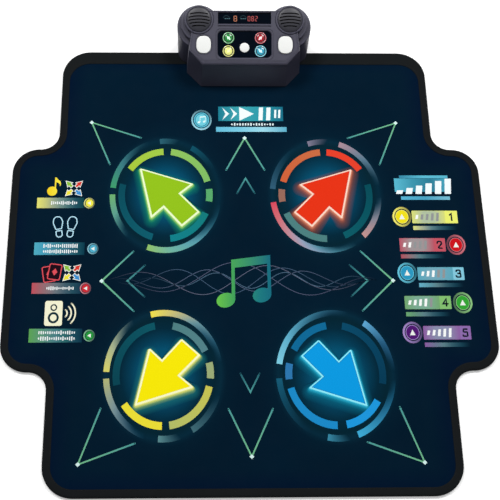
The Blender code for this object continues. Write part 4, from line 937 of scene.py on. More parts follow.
# Each target's arcs: track, start, end, and inks from start to end
TARGET_ARCS = {
    "step_pad_back_left": [
        (0, 142, 93, "A9C93A A0C848"), (0, 84, 19, "8FC15C 7DBA63"), (0, 8, -10, "58A86A"),
        (0, -27, -84, "137A7A 10808A"), (0, -105, -195, "0E6070:0.9 0A4F5E:0.8"),
        (1, 172, 106, "3F9C6B 3D7F86:0.9 24586A:0"), (1, 96, 77, "2A6070 2A6070:0"), (1, 64, 30, "0F5064 0F4658:0"),
        (1, -107, -10, "8FC167 6FB3A0 5AA0AE 2A6A80:0.6 104A60:0"), (1, 180, 232, "6DB06E 5C9E8E 2A6A80:0")],
    "step_pad_back_right": [
        (0, 86, 38, "E5402A"), (0, 94, 161, "C76B42 D06038"), (0, 172, 190, "97695A"), (0, -153, -91, "4C7F7E"),
        (0, -70, 15, "0A5F6A:0.9 06505C:0.8"), (1, 74, 10, "A98A96 5D7F94:0.9 2A5A70:0"),
        (1, 105, 85, "7F7A90 5F6A80:0"), (1, 173, 118, "33607A:0.9 1A4A60:0"),
        (1, -171, -62, "D8485C CF6C74 BF8C98 8FA3BE 4F93A8:0.8 2A6A80:0"),
        (1, -52, -2, "C4938F 8A8A98:0.9 35708A:0")],
    "step_pad_front_left": [
        (0, -142, -91, "F0E238"), (0, -83, -15, "B8C26A CBC752"), (0, -5, 15, "9DAE78"), (0, 30, 80, "54838A 4F8082"),
        (0, 100, 193, "0C5866:0.9 0A4A58:0.8"), (1, 102, 12, "F5E34A C9BE7A 6A97A0 2C6078:0.8 1C5068:0"),
        (1, 177, 118, "D9D468 A9B590 4A7A88:0"), (1, -176, -105, "B4B878 7F9AA0:0.9 1F6A8C:0"),
        (1, -94, -74, "5B8C90 3A6C80:0"), (1, -63, -20, "44707A:0.9 2A5A70:0")],
    "step_pad_front_right": [
        (0, -34, -81, "1E9AE0"), (0, -91, -163, "1C8CCB"), (0, -174, -194, "2E78B0"), (0, 148, 98, "0F6A98"),
        (0, 80, -12, "084C6C:0.9 063F5C:0.8"), (1, 169, 76, "7FCFE4 5FB0CC 3A7C98:0.8 2A6080:0"),
        (1, 60, 3, "5FA9D4 2E6A92:0.7 1E5A80:0"), (1, -176, -115, "17607C:0.9 17506A:0"),
        (1, -73, -5, "40B0DC 2A7FA8:0.8 1E6A90:0"), (1, -100, -80, "3A8CA8 2A6C88:0")],
}


def ring_line(centre, half, start, end):
    """Points along part of an ellipse, every three degrees or so."""
    steps = max(2, round(abs(end - start) / 3))
    line = []
    for i in range(steps + 1):
        angle = math.radians(start + (end - start) * i / steps)
        reach = half[0] * half[1] / math.hypot(half[1] * math.cos(angle), half[0] * math.sin(angle))
        line.append((centre[0] + reach * math.cos(angle), centre[1] + reach * math.sin(angle)))
    return line


def swollen(outline, distance, drop):
    """An outline moved outwards with round outer corners, and moved down by drop."""
    line = []
    for point, a, b in bends(outline):
        first, last = Vector((a.y, -a.x)), Vector((b.y, -b.x))
        if a.x * b.y - a.y * b.x < 0:
            middle = (first + last).normalized()
            spokes = [middle * min(distance / middle.dot(first), 0.012)]
        else:
            spokes = [first.slerp(last, k / 6) * distance for k in range(7)]
        line += [tuple(point + spoke - Vector((0.0, drop))) for spoke in spokes]
    return line


def print_targets(vinyl):
    """The rings and the arrow on each step pad, with the arrow's glow under the rings."""
    shades = {"93C21C": ("F2FFD0", "A4D86C", "2E9A62", "0C7264", 0.0012),
              "E63315": ("FFDCC8", "D88262", "A05440", "744238", 0.0010),
              "FCEC06": ("FFFFD0", "E8E874", "70A06C", "186A70", 0.0011),
              "0A9CE4": ("98F4FF", "2CB4D4", "0C7C98", "065E78", 0.0007)}
    for pad, centre, half, arrow_centre, turn, fill in TARGETS:
        art = Artwork()
        pale, near, middle, far, edge = shades[fill]
        for track, start, end, inks in TARGET_ARCS[pad]:
            inset_x, inset_y, width = ((0.0170, 0.0225, 0.0125), (0.0005, 0.0005, 0.0106))[track]
            rows = [ring_line(centre, (half[0] - inset_x - into, half[1] - inset_y - into * 1.1), start, end)
                    for into in (width, 0.0)]
            shares = [i / (len(rows[0]) - 1) for i in range(len(rows[0]))]
            tones = [[blend(inks_of(inks), min(1.0, share * hurry)) for share in shares]
                     for hurry in (1.0 + 0.22 * track, 1.0)]
            art.grid(rows, tones, 1)
        outline = turned(arrow_outline(0.0705), turn, *arrow_centre)
        glow = [(0.0165, 0.0090, f"{far}:0"), (0.0110, 0.0080, f"{far}:0.35"), (0.0072, 0.0062, f"{far}:0.68"),
                (0.0046, 0.0036, f"{middle}:0.82"), (0.0013 + edge, 0.0010, f"{near}:0.95"), (edge, 0.0002, pale),
                (0.0002, 0.0, pale)]
        art.bands([swollen(outline, distance, drop) for distance, drop, _ in glow], [ink for _, _, ink in glow], 0)
        art.rings(outline, [(0.0004, pale), (-edge * 0.8, pale), (-0.0010 - edge * 0.8, fill)], 3)
        art.fill(grown(outline, -0.0020), fill, 4)
        art.piece(f"{pad}_print", vinyl, pad)


NUMERALS = {
    1: [([(0.20, 1.28), (0.58, 1.60), (0.58, 0.0)], 0.0)],
    2: [([(0.02, 1.22), (0.10, 1.60), (0.90, 1.60), (0.95, 1.00), (0.0, 0.0), (1.0, 0.0)], 0.22)],
    3: [([(0.05, 1.35), (0.15, 1.60), (0.90, 1.60), (0.90, 0.86), (0.40, 0.86)], 0.22),
        ([(0.40, 0.86), (0.98, 0.86), (0.98, 0.0), (0.10, 0.0), (0.0, 0.30)], 0.22)],
    4: [([(0.74, 0.0), (0.74, 1.60), (0.0, 0.50), (1.05, 0.50)], 0.0)],
    5: [([(0.92, 1.60), (0.16, 1.60), (0.08, 0.92), (0.95, 0.98), (0.95, 0.0), (0.05, 0.0), (0.0, 0.26)], 0.20)],
}


def print_modes(vinyl):
    """The four game blocks on the left lobe: a picture, a fading bar and a small round mark."""
    blocks = ((-0.3109, (0.0968, 0.1186), (-0.3005, 0.1073), 1,
               "E2E070 C8CA78 9AA888 708E86 467074 22505F 0D4348", "DCDC8C F0E848"),
              (-0.3060, (0.0010, 0.0262), (-0.2904, 0.0134), 2,
               "50ACC0 469EBA 4990A4 327C8C 326C80 1C5463 06384A", "8CC8D8 50ACC8"),
              (-0.3100, (-0.0758, -0.0545), (-0.3011, -0.0653), 1,
               "C0505C A0646C 887278 68747C 445E6C 244D5C 17394E", "D08890 CC2C38"),
              (-0.3039, (-0.1690, -0.1430), (-0.2910, -0.1562), 2,
               "5CA454 5C9A70 568C80 467E84 2D6A6B 1A4C5C 0C3448", "88C498 24963C"))
    x_low = -0.3992
    for number, (x_high, (y_low, y_high), (cx, cy), rows, inks, mark) in enumerate(blocks, 1):
        art = Artwork()
        art.bar(x_low, x_high, y_low, y_high, inks, 0)
        middle = (y_low + y_high) / 2
        more = rows - 1
        for y in (middle + 0.0056, middle - 0.0056) if more else (middle,):
            art.signal_row(x_low + 0.026 - 0.010 * more, x_high - 0.012, y, 0.0085, 14 + 3 * more, "F6FAFA", 2)
        rim_ink, disc_ink = mark.split()
        art.disc(cx, cy, 0.0102, 0.0112, "0A2434:0.9", 1)
        art.crescent(cx, cy, 0.0102, 0.0112, 0.80, rim_ink, 180, 2)
        art.disc(cx + 0.0005, cy, 0.0072, 0.0080, disc_ink, 3)
        art.fill([(cx - 0.0036, cy), (cx + 0.0030, cy - 0.0038), (cx + 0.0030, cy + 0.0038)], "F4FAF4:0.95", 4)
        if number == 1:
            art.note(-0.3720, 0.1325, 0.0290, "F2CE1E F8EC4A", 1, fat=1.3)
            art.four_arrows(-0.3308, 0.1382, 0.0132)
        elif number == 2:
            for side, turn in ((-1, 8), (1, -8)):
                art.foot_mark(-0.3440 + side * 0.0118, 0.0555, 0.0215, turn, "B8E4F4")
        elif number == 3:
            for shift, turn, level in ((-0.0052, 10, 1), (0.0052, -8, 4)):
                art.card(-0.3640 + shift, -0.0350 + shift * 0.4, turn, "E0505A", level)
            art.four_arrows(-0.3272, -0.0345, 0.0134)
        else:
            art.little_speaker(-0.3570, -0.1136, "F6F4D4")
        art.piece(f"mode_pad_{number}_print", vinyl, f"mode_pad_{number}")


def print_levels(vinyl):
    """The five level blocks on the right lobe: a ringed mark, a plate with a numeral, and a line under it."""
    blocks = (((0.2927, 0.0787), (0.3117, 0.3988), (0.0650, 0.0913), 0.3750,
               "DADE78 B0C0A0 ECF070 D8DC80 A6AF92 F4EC70 F0E01C", 180),
              ((0.3903, 0.0208), (0.2838, 0.3703), (0.0070, 0.0343), 0.3485,
               "B85868 A09496 C45462 B0505E 907076 D0707C CC141C", 0),
              ((0.2935, -0.0359), (0.3130, 0.3998), (-0.0505, -0.0247), 0.3790,
               "5AA8BC 72A8BA 84C8DC 64B0C8 5C9BAC 64C4DC 2C98C0", 180),
              ((0.3913, -0.0950), (0.2843, 0.3700), (-0.1075, -0.0816), 0.3487,
               "74A870 7CAC94 84C070 6CA870 609078 8CC480 34A434", 0),
              ((0.2940, -0.1522), (0.3138, 0.4005), (-0.1659, -0.1398), 0.3806,
               "8E5EA2 8A8EAC 8E6CAC 8C5CA0 6E7292 A488C8 501870", 180))
    for number, ((cx, cy), (x_low, x_high), (y_low, y_high), cell, inks, bright) in enumerate(blocks, 1):
        art = Artwork()
        plate_end, plate_middle, cell_ink, line_start, line_next, rim_ink, disc_ink = inks.split()
        art.fill(box_outline(x_low, x_high, y_low, y_high, 0.0015, 3), plate_end, 0)
        art.bar(x_low + 0.0006, cell, y_low + 0.0006, y_high - 0.0006,
                f"{plate_end} {plate_middle} {plate_middle} {plate_end}", 1)
        art.fill(box_outline(cell, x_high - 0.0006, y_low + 0.0006, y_high - 0.0006), cell_ink, 1)
        middle = (y_low + y_high) / 2
        for i in range(5):
            tall = 0.0042 + 0.0011 * i
            art.dash(x_low + 0.0061 + 0.0098 * i, middle - tall, middle + tall, 0.0048, 0.0020,
                     "FAFCFA" if i < number else "FAFCFA:0.3", 2)
        art.numeral(number, cell + (x_high - cell) / 2 - 0.0046, middle - 0.0068, 0.0136, "14202C", 2, 0.0031)
        art.bar(x_low + 0.0008, x_high - 0.003, y_low - 0.0138, y_low - 0.0056,
                f"{line_start} {line_next} 5C8088 315A68 143F50 123848:0", 0)
        art.disc(cx, cy, 0.0176, 0.0200, "0A1C2C", 0)
        art.crescent(cx, cy, 0.0180, 0.0205, 0.80, rim_ink, bright, 1)
        art.disc(cx, cy, 0.0122, 0.0139, disc_ink, 1)
        art.rings(oval(cx, cy, 0.0122, 0.0139, 2.0, 48), [(0.0004, rim_ink), (-0.0008, rim_ink)], 2)
        art.disc(cx, cy, 0.0095, 0.0108, disc_ink, 3)
        art.fill([(cx - 0.0052, cy - 0.0052), (cx + 0.0052, cy - 0.0052), (cx, cy + 0.0058)], "F6FAF2:0.95", 4)
        art.piece(f"level_pad_{number}_print", vinyl, f"level_pad_{number}")


def print_start(vinyl):
    """The start block: a ringed note, a teal block with play and pause marks, and a bar under it."""
    art = Artwork()
    cx, cy = -0.0871, 0.2881
    art.disc(cx, cy, 0.0200, 0.0226, "0A2C44", 0)
    art.crescent(cx, cy, 0.0200, 0.0226, 0.84, "9CD8E8", 250, 1)
    for half_x, half_y, ink, level in ((0.0150, 0.0170, "5CC0D4", 1), (0.0128, 0.0146, "1C6C8C", 2),
                                       (0.0116, 0.0132, "70CCDC", 3)):
        art.disc(cx, cy, half_x, half_y, ink, level)
    art.note(cx - 0.0050, cy - 0.0050, 0.0110, "E8FCFC D8F8F8", 4, beamed=True)
    art.bar(-0.0540, 0.0740, 0.2860, 0.3185, "1C7C90 3CA4B0 2C98A8 186C84", 0)
    white = "F2FCFC"
    for x in (-0.046, -0.030):
        art.fill([(x, 0.2885), (x + 0.0135, 0.3022), (x, 0.3160), (x + 0.0062, 0.3022)], white, 1)
    art.fill([(-0.0125, 0.2868), (0.0165, 0.3022), (-0.0125, 0.3178)], white, 1)
    for x, y_low, y_high, width, lean in ((0.0250, 0.2878, 0.3168, 0.0082, 0.0018),
                                          (0.0400, 0.2878, 0.3168, 0.0082, 0.0018),
                                          (0.0560, 0.2930, 0.3115, 0.0040, 0.0012),
                                          (0.0640, 0.2930, 0.3115, 0.0040, 0.0012)):
        art.dash(x, y_low, y_high, width, lean, white, 1)
    art.signal_row(-0.030, 0.056, 0.2785, 0.0068, 16, "E6F6F8", 1)
    art.bar(-0.0587, 0.0800, 0.2618, 0.2726, "64BCD8 78C8E0 9CD8E8 60B4D0:0.9", 0)
    art.piece("start_pad_print", vinyl, "start_pad")


def print_field(vinyl):
    """What is printed between the pads: the level heading, the middle note, waves and crossing lines."""
    art = Artwork()
    art.bar(0.2936, 0.3876, 0.1606, 0.1664, "3C94B4:0.8 5CBCD4 58B4CC", 0)
    art.bar(0.2832, 0.3882, 0.1312, 0.1600, "58B8D0 3C94AC 2C7C94 48A8C0", 0)
    art.bar(0.2942, 0.3882, 0.1143, 0.1216, "58B4D4 48A0C0 7CC4DC:0.9", 0)
    for i in range(6):
        art.dash(0.2850 + 0.0188 * i, 0.1268, 0.1345 + 0.0050 * i, 0.0122, 0.0026, "F4FCFE", 1)

    art.note(-0.0440, -0.0890, 0.0700, "6CC848 3C9C5C 1E7C80 14607C", 2, beamed=True)

    for start, reach, lift, waves, phase, ink in ((-0.265, 0.500, 0.030, 2.0, 0.3, "6A7088"),
                                                  (-0.250, 0.470, 0.022, 2.6, 1.9, "586884"),
                                                  (-0.235, 0.470, 0.036, 1.6, 3.4, "5C6480"),
                                                  (-0.205, 0.440, 0.016, 3.4, 0.9, "54748E"),
                                                  (-0.245, 0.450, 0.027, 2.2, 4.6, "4A6480")):
        line = []
        for i in range(121):
            t = i / 120
            swell = math.sin(math.pi * t) ** 0.6
            line.append((start + reach * t, -0.050 + lift * swell * math.sin(math.tau * waves * t + phase)))
        art.stroke(line, 0.0011, f"{ink}:0 {ink}:0.8 {ink}:0.9 {ink}:0.8 {ink}:0", 1, round_ends=False)

    long, short = "4C9A98 74BC8C 74BC8C 74BC8C 4C9A98", "2C6C78:0.8 4C9A98 2C6C78:0.8"
    lines = [([(BOX_X + side * x, y) for x, y in line], inks) for side in (-1, 1) for line, inks in (
        ([(0.212, 0.008), (0.269, -0.051), (0.209, -0.110)], long),
        ([(0.190, -0.020), (0.222, -0.051), (0.190, -0.082)], short),
        ([(0.261, 0.190), (0.299, 0.282), (0.202, 0.248)], long),
        ([(0.263, -0.290), (0.299, -0.388), (0.202, -0.352)], long))]
    lines += [([(-0.040, 0.178), (-0.003, 0.248), (0.034, 0.178)], long),
              ([(-0.020, 0.128), (-0.003, 0.160), (0.014, 0.128)], short),
              ([(-0.042, -0.292), (-0.003, -0.376), (0.036, -0.292)], long),
              ([(-0.020, -0.228), (-0.003, -0.262), (0.014, -0.228)], short)]
    for line, inks in lines:
        art.stroke(line, 0.0032, inks, 0)
    for x, y in ((-0.003, 0.248), (-0.003, -0.376), (-0.302, 0.282), (0.296, 0.282), (-0.302, -0.388),
                 (0.296, -0.388), (-0.272, -0.051), (0.266, -0.051)):
        art.fill([(x - 0.0042, y), (x, y - 0.0042), (x + 0.0042, y), (x, y + 0.0042)], "D8F4F0", 1)
    art.piece("field_print", vinyl, ROOT)




# The control box's case

def core_outline(front_half, chamfer_half, back_half, levels, corner):
    """Half of the case's eight-cornered outline, mirrored and with its corners turned round."""
    front, chamfer, waist, back = levels
    right = [(front_half, front), (chamfer_half, chamfer), (back_half[0], waist), (back_half[1], back)]
    return rounded(mirrored(right), corner, 5)


def core_solid(inset):
    """The middle of the case, narrowing upwards to the tilted panel."""
    foot_half = FOOT_WIDTH / 2 - inset
    foot_back = FOOT_FRONT_Y + PANEL_DEPTH
    floor_z = LOW_Z - (0.0012 if inset == 0.0 else 0.0041)
    corner = 0.0035 - inset / 2
    foot = core_outline(FOOT_FRONT_WIDTH / 2 - inset / 2, foot_half, (foot_half, foot_half - FOOT_TAPER),
                        (FOOT_FRONT_Y + inset, FOOT_FRONT_Y + FOOT_CHAMFER_DEPTH + inset / 2, foot_back,
                         foot_back + FOOT_TAIL), corner)
    rings = [in_box(ring(foot, floor_z))]
    for i in range(7):
        angle = math.radians(15 * i)
        edge = EDGE_ROUND * (1 - math.cos(angle))
        drop = EDGE_ROUND * (1 - math.sin(angle))
        side = edge * SIDE_SHARE
        back_half = PANEL_BACK_WIDTH / 2 - inset - side
        rings.append(panel_ring(core_outline(
            PANEL_FRONT_WIDTH / 2 - inset / 2 - side, PANEL_WIDTH / 2 - inset - side, (back_half, back_half),
            (inset + edge - FRONT_LIP, PANEL_CHAMFER_DEPTH + inset / 2 + side / 2, PANEL_WAIST,
             PANEL_DEPTH - inset - side / 2), corner), -inset - drop))
    return loft(rings)


def panel_z(y):
    """The height of the panel's plane at one Y."""
    return PANEL_FRONT_Z + (y - PANEL_FRONT_Y) * math.tan(PANEL_TILT)


def rear_solid(inset):
    """The case behind the panel, down to the floor, with its top edges turned round."""
    floor_z = -0.003 if inset == 0.0 else -0.005
    front_y = POD_FOOT_Y - POD_FOOT_FRONT / 2 - (0.0 if inset == 0.0 else 0.004)
    shoulder_y = PANEL_FRONT_Y + PANEL_DEPTH * math.cos(PANEL_TILT)
    drop = REAR_DROP + inset / math.cos(PANEL_TILT)
    profile = [(front_y, floor_z), (REAR_Y - inset, floor_z), (REAR_Y - inset, REAR_HEIGHT - inset),
               (shoulder_y, panel_z(shoulder_y) - drop), (front_y, panel_z(front_y) - drop)]
    profile = rounded(profile, [0.0004, 0.0004, 0.004, 0.004, 0.0004], 5)
    half = REAR_WIDTH / 2 + (0.0 if inset == 0.0 else 0.003)
    return loft([[Vector((BOX_X + x, y, z)) for y, z in profile] for x in (-half, half)])


def pod_profile():
    """Radius, shift and depth of a pod's rings: three discs with rolled edges, and a bed for the grille."""
    rings = []
    for i in range(3):
        radius = POD_RADIUS - POD_STEP * i
        shift = POD_STEP_SHIFT * (i - 2)
        top = POD_TOP_RISE - POD_STEP_HEIGHT * (2 - i)
        if i:
            rings.append((radius + 0.0006, shift, top - POD_STEP_HEIGHT))
            rings.append((radius, shift, top - POD_STEP_HEIGHT + 0.0008))
        for angle in (0, 22, 45, 68, 90):
            a = math.radians(angle)
            rings.append((radius - 0.0018 * (1 - math.cos(a)), shift, top - 0.0018 * (1 - math.sin(a))))
    return rings + [(GRILLE_RADIUS + 0.0011, 0.0, POD_TOP_RISE), (GRILLE_RADIUS + 0.0007, 0.0, POD_TOP_RISE - 0.0006)]


def pod_solid(side, inset):
    """One speaker pod: a foot under three discs, each smaller and further back than the one below."""
    foot = []
    for i in range(96):
        angle = math.tau * i / 96
        c = math.cos(angle)
        s = math.sin(angle)
        power = 2.0 if s >= 0 else 3.2
        reach = (POD_FOOT_BACK if s >= 0 else POD_FOOT_FRONT) - inset
        foot.append((side * POD_X + (POD_FOOT_SIDE - inset) * math.copysign(abs(c) ** (2 / power), c),
                     POD_FOOT_Y + reach * math.copysign(abs(s) ** (2 / power), s)))
    rings = [in_box(ring(foot, -0.002 if inset == 0.0 else -0.004))]
    profile = pod_profile()
    if inset:
        low = POD_TOP_RISE - 2 * POD_STEP_HEIGHT - inset
        profile = [(POD_RADIUS - inset - POD_STEP * i, POD_STEP_SHIFT * (i - 2), low + POD_STEP_HEIGHT * j)
                   for i, j in ((0, 0), (1, 0), (1, 1), (2, 1), (2, 2))]
    for radius, shift, depth in profile:
        rings.append(panel_ring(oval(side * POD_X, POD_UP + shift, radius, radius), depth))
    return loft(rings)


def case_solids(inset):
    """The case's outer form, or the space inside its walls."""
    return [core_solid(inset), rear_solid(inset), pod_solid(-1, inset), pod_solid(1, inset)]


def panel_opening(outline, sill_outline):
    """A cut through the panel with a sloping sill."""
    return panel_loft([(outline, -WALL - 0.001), (outline, -WALL + 0.0004), (sill_outline, -0.0002),
                       (sill_outline, 0.004)])


def groove(line, width, depth):
    """A shallow cut that follows a closed line on the panel."""
    half = width / 2
    section = [(-half, 0.002), (-half, -0.0001), (-half * 0.4, -depth), (half * 0.4, -depth),
               (half, -0.0001), (half, 0.002)]
    return panel_loft([(grown(line, offset), z) for offset, z in section], closed=True)


def side_key_outline(side, grow, steps=72):
    """The oval of a side key, grown for its rim or its hole."""
    return oval(side * SIDE_KEY_X, SIDE_KEY_UP, SIDE_KEY_HALF_WIDTH + grow, SIDE_KEY_HALF_DEPTH + grow,
                2.6, steps)


def overlay_outline(grow, lower=0.0):
    """The glossy overlay's rectangle, grown for its sill or its lap."""
    return box_outline(-OVERLAY_HALF - grow, OVERLAY_HALF + grow, OVERLAY_LOW - grow - lower,
                       OVERLAY_HIGH + grow, OVERLAY_CORNER, 8)


def rod(place, radius, length):
    """A round bar along a placed frame's Z axis."""
    return placed(lathe([(radius, 0.0), (radius, length)], 32), place)


def upright_rod(x, y, radius, z_low, z_high):
    """A round bar that runs along Z."""
    return rod(Matrix.Translation((BOX_X + x, y, z_low)), radius, z_high - z_low)


def towards_back(x, y, z):
    """A frame whose Z axis runs towards the back."""
    return Matrix.Translation((BOX_X + x, y, z)) @ Matrix.Rotation(math.radians(-90), 4, "X")


def rear_rod(x, z, radius, y_low, y_high):
    """A round bar that runs along Y."""
    return rod(towards_back(x, y_low, z), radius, y_high - y_low)


CASE_SCREWS = ((-0.1045, 0.404), (0.1045, 0.404), (-0.0610, 0.4845), (0.0610, 0.4845))
DOOR_HALF = 0.025
DOOR_LOW = 0.0051
DOOR_HIGH = 0.0698
DOOR_THICKNESS = 0.0022
DOOR_SCREW_Z = 0.0658
BOSS_HALF = 0.0036
SWITCH_X = 0.048
SOCKET_X = -0.048
FITTING_Z = 0.040


def inner_blocks():
    """What stands inside the case: posts for the board, seats for the speakers, blocks for the screws."""
    blocks = []
    for x, y in ((0.0595, 0.0140), (0.0500, 0.0720)):
        for side in (-1, 1):
            blocks.append(panel_loft([(oval(side * x, y, radius, radius, 2.0, 24), depth) for radius, depth in
                                      ((0.0012, -0.0146), (0.0012, -0.0107), (0.0027, -0.0107),
                                       (0.0027, -WALL + 0.0006))]))
    for side in (-1, 1):
        lines = [oval(side * POD_X, POD_UP, radius, radius) for radius in (SEAT_RADIUS + 0.0019, SEAT_RADIUS + GAP)]
        seat = plate(lines[0], -0.0095, POD_TOP_RISE - WALL / 2, [lines[1]])
        blocks.append(placed(seat, PANEL))
    for number, (x, y) in enumerate(CASE_SCREWS):
        if number < 2:
            ends = sorted((x - math.copysign(BOSS_HALF, x), math.copysign(FOOT_WIDTH / 2 - WALL, x)))
            blocks.append(block(BOX_X + ends[0], BOX_X + ends[1], y - BOSS_HALF, y + BOSS_HALF, 0.0122, 0.0299))
        else:
            blocks.append(block(BOX_X + x - BOSS_HALF, BOX_X + x + BOSS_HALF, y - BOSS_HALF, REAR_Y - WALL / 2,
                                0.0028, 0.0205))
    blocks.append(block(BOX_X - BOSS_HALF, BOX_X + BOSS_HALF, REAR_Y - 0.0105, REAR_Y - 0.0025, 0.0627, 0.0748))
    return blocks


def case_cuts():
    """Everything that is cut out of the upper case."""
    cuts = [panel_opening(box_outline(-WINDOW_HALF, WINDOW_HALF, WINDOW_LOW, WINDOW_HIGH, 0.0008, 3),
                          box_outline(-WINDOW_HALF, WINDOW_HALF, WINDOW_LOW - 0.0030, WINDOW_HIGH + 0.001, 0.0008, 3)),
            panel_opening(overlay_outline(0.0), overlay_outline(0.0012, 0.0016))]
    for side in (-1, 1):
        cuts.append(panel_opening(side_key_outline(side, GAP), side_key_outline(side, 0.0019)))
        hole = oval(side * POD_X, POD_UP, GRILLE_RADIUS + GAP, GRILLE_RADIUS + GAP)
        cuts.append(panel_loft([(hole, POD_TOP_RISE - WALL - 0.002), (hole, 0.004)]))
    for back_y, top in ((REAR_Y + POD_RADIUS, 0.0), (HEM_FRONT_Y, LOW_Z), (BACK_STEP_Y, HEM_Z)):
        cuts.append(block(-0.4, 0.4, 0.34, back_y, -0.01, top))
    cuts.append(block(BOX_X - DOOR_HALF - GAP, BOX_X + DOOR_HALF + GAP, REAR_Y - WALL - 0.002, REAR_Y + 0.004,
                      DOOR_LOW - GAP, DOOR_HIGH + GAP))
    cuts.append(block(BOX_X + SWITCH_X - 0.0046, BOX_X + SWITCH_X + 0.0046, REAR_Y - WALL - 0.001,
                      REAR_Y + 0.001, FITTING_Z - 0.0020, FITTING_Z + 0.0020))
    cuts.append(rear_rod(SOCKET_X, FITTING_Z, 0.0033, REAR_Y - WALL - 0.001, REAR_Y + 0.001))
    for number, (x, y) in enumerate(CASE_SCREWS):
        low = (0.0119 if number < 2 else WALL) - 0.001
        cuts.append(upright_rod(x, y, 0.0016, low, low + 0.013))
    cuts.append(rear_rod(0.0, DOOR_SCREW_Z, 0.0018, REAR_Y - 0.0057, REAR_Y))
    return cuts


def trim_cuts():
    """The creases round the panel, the recesses and the pods' top discs, and the step under the display."""
    cuts = []
    for inset, front, width, depth in ((0.0034, 0.0052, 0.0008, 0.0005), (0.0052, 0.0074, 0.0006, 0.0004)):
        half = PANEL_BACK_WIDTH / 2 - inset
        line = core_outline(PANEL_FRONT_WIDTH / 2 - inset * 0.6, PANEL_WIDTH / 2 - inset, (half, half),
                            (front, PANEL_CHAMFER_DEPTH + inset * 0.6, PANEL_WAIST, PANEL_DEPTH - 0.0026), 0.003)
        cuts.append(groove(line, width, depth))
    cuts.append(groove(overlay_outline(0.0036, 0.0012), 0.0010, 0.0007))
    step = box_outline(-WINDOW_HALF, WINDOW_HALF, WINDOW_LOW - 0.0064, WINDOW_LOW - 0.0036, 0.0006, 3)
    cuts.append(panel_loft([(step, -0.0016), (step, 0.004)]))
    disc = POD_RADIUS - 2 * POD_STEP + 0.0004
    for side in (-1, 1):
        cuts.append(groove(oval(side * POD_X, POD_UP, disc, disc), 0.0013, 0.0011))
        cuts.append(groove(side_key_outline(side, 0.0030), 0.0007, 0.0004))
    return cuts


def make_cover(plastic):
    """The upper case: the tilted panel, the walls and both pods, hollow, with its openings."""
    outer = case_solids(0.0)
    cover = make_piece("upper_case", outer[0], plastic, 28)
    combine(cover, "UNION", outer[1:])
    combine(cover, "DIFFERENCE", case_solids(WALL))
    combine(cover, "UNION", inner_blocks())
    combine(cover, "DIFFERENCE", case_cuts() + trim_cuts())
    smoothed(cover.data, 28)
    stands_in(cover, ROOT, "case_grey", "console_cover")


def curved_slot(y, half):
    """A slot that bows a little, with round ends."""
    def bow(x):
        return y + 0.0006 - 6.0 * x * x

    xs = [half * (i / 8 - 1) for i in range(17)]
    lower = [(x, bow(x) - 0.0012) for x in xs]
    upper = [(x, bow(x) + 0.0012) for x in reversed(xs)]
    return lower + [(half + 0.0009, bow(half))] + upper + [(-half - 0.0009, bow(half))]


def make_grilles(plastic):
    """The domed speaker grilles, with slots that bow, a rolled rim and rounded ribs between the slots."""
    for name, side in (("left", -1), ("right", 1)):
        place = PANEL @ Matrix.Translation((side * POD_X, POD_UP, POD_TOP_RISE))
        dome = [(GRILLE_RADIUS * math.cos(math.radians(a)), GRILLE_RISE * math.sin(math.radians(a)))
                for a in range(0, 86, 6)]
        inner = [(radius * 0.92, z - 0.0022) for radius, z in reversed(dome)]
        flange = -WALL - GAP
        profile = [*inner, (GRILLE_RADIUS * 0.92, flange - 0.0020), (SEAT_RADIUS, flange - 0.0020),
                   (SEAT_RADIUS, flange), (GRILLE_RADIUS, flange), *dome]
        grille = make_piece(f"grille_{name}", lathe(profile), plastic, 40)
        slots = []
        for i in range(5):
            y = (i - 2) * 0.0062 - 0.0008
            half = math.sqrt(0.0206 ** 2 - max(abs(y), 0.003 - y) ** 2)
            slots.append(loft([ring(curved_slot(y, half), z) for z in (-0.004, 0.006)]))
        combine(grille, "DIFFERENCE", slots)
        grille.data.transform(place)
        stands_in(grille, ROOT, "grille", f"speaker_grille_{name}")


def key_cap(centre_x, centre_y, half_width, half_depth, power, top, flange_top):
    """A key: its stem, its flange, its walls, a rolled edge and a slightly domed top."""
    def line(grow, share=1.0):
        return oval(centre_x, centre_y, (half_width + grow) * share, (half_depth + grow) * share, power, 72)

    stem = oval(centre_x, centre_y, 0.0037, 0.0037, power, 72)
    rings = [(stem, STEM_LOW), (stem, flange_top - 0.0012), (line(0.0012), flange_top - 0.0012),
             (line(0.0012), flange_top), (line(0.0), flange_top), (line(0.0), top - 0.0011)]
    rings += [(line(-0.0011 * (1 - math.cos(math.radians(a)))), top - 0.0011 * (1 - math.sin(math.radians(a))))
              for a in range(15, 91, 15)]
    rings += [(line(-0.0011, share), top + 0.0005 * (1 - share ** 2)) for share in (0.8, 0.55, 0.3, 0.08)]
    return panel_loft(rings)


def make_keys(white):
    """The round centre key and the two oval side keys."""
    cap = key_cap(0.0, CENTRE_KEY_UP, CENTRE_KEY_RADIUS, CENTRE_KEY_RADIUS, 2.0, PANE_TOP + KEY_PROUD, KEY_FLANGE)
    fitted("centre_key_cap", cap, white, "centre_key", "key_white", "centre_key")
    for name, side in (("left", -1), ("right", 1)):
        cap = key_cap(side * SIDE_KEY_X, SIDE_KEY_UP, SIDE_KEY_HALF_WIDTH, SIDE_KEY_HALF_DEPTH, 2.6, KEY_PROUD / 2,
                      -WALL - GAP)
        fitted(f"{name}_key_cap", cap, white, f"{name}_key", "key_white", f"{name}_key")


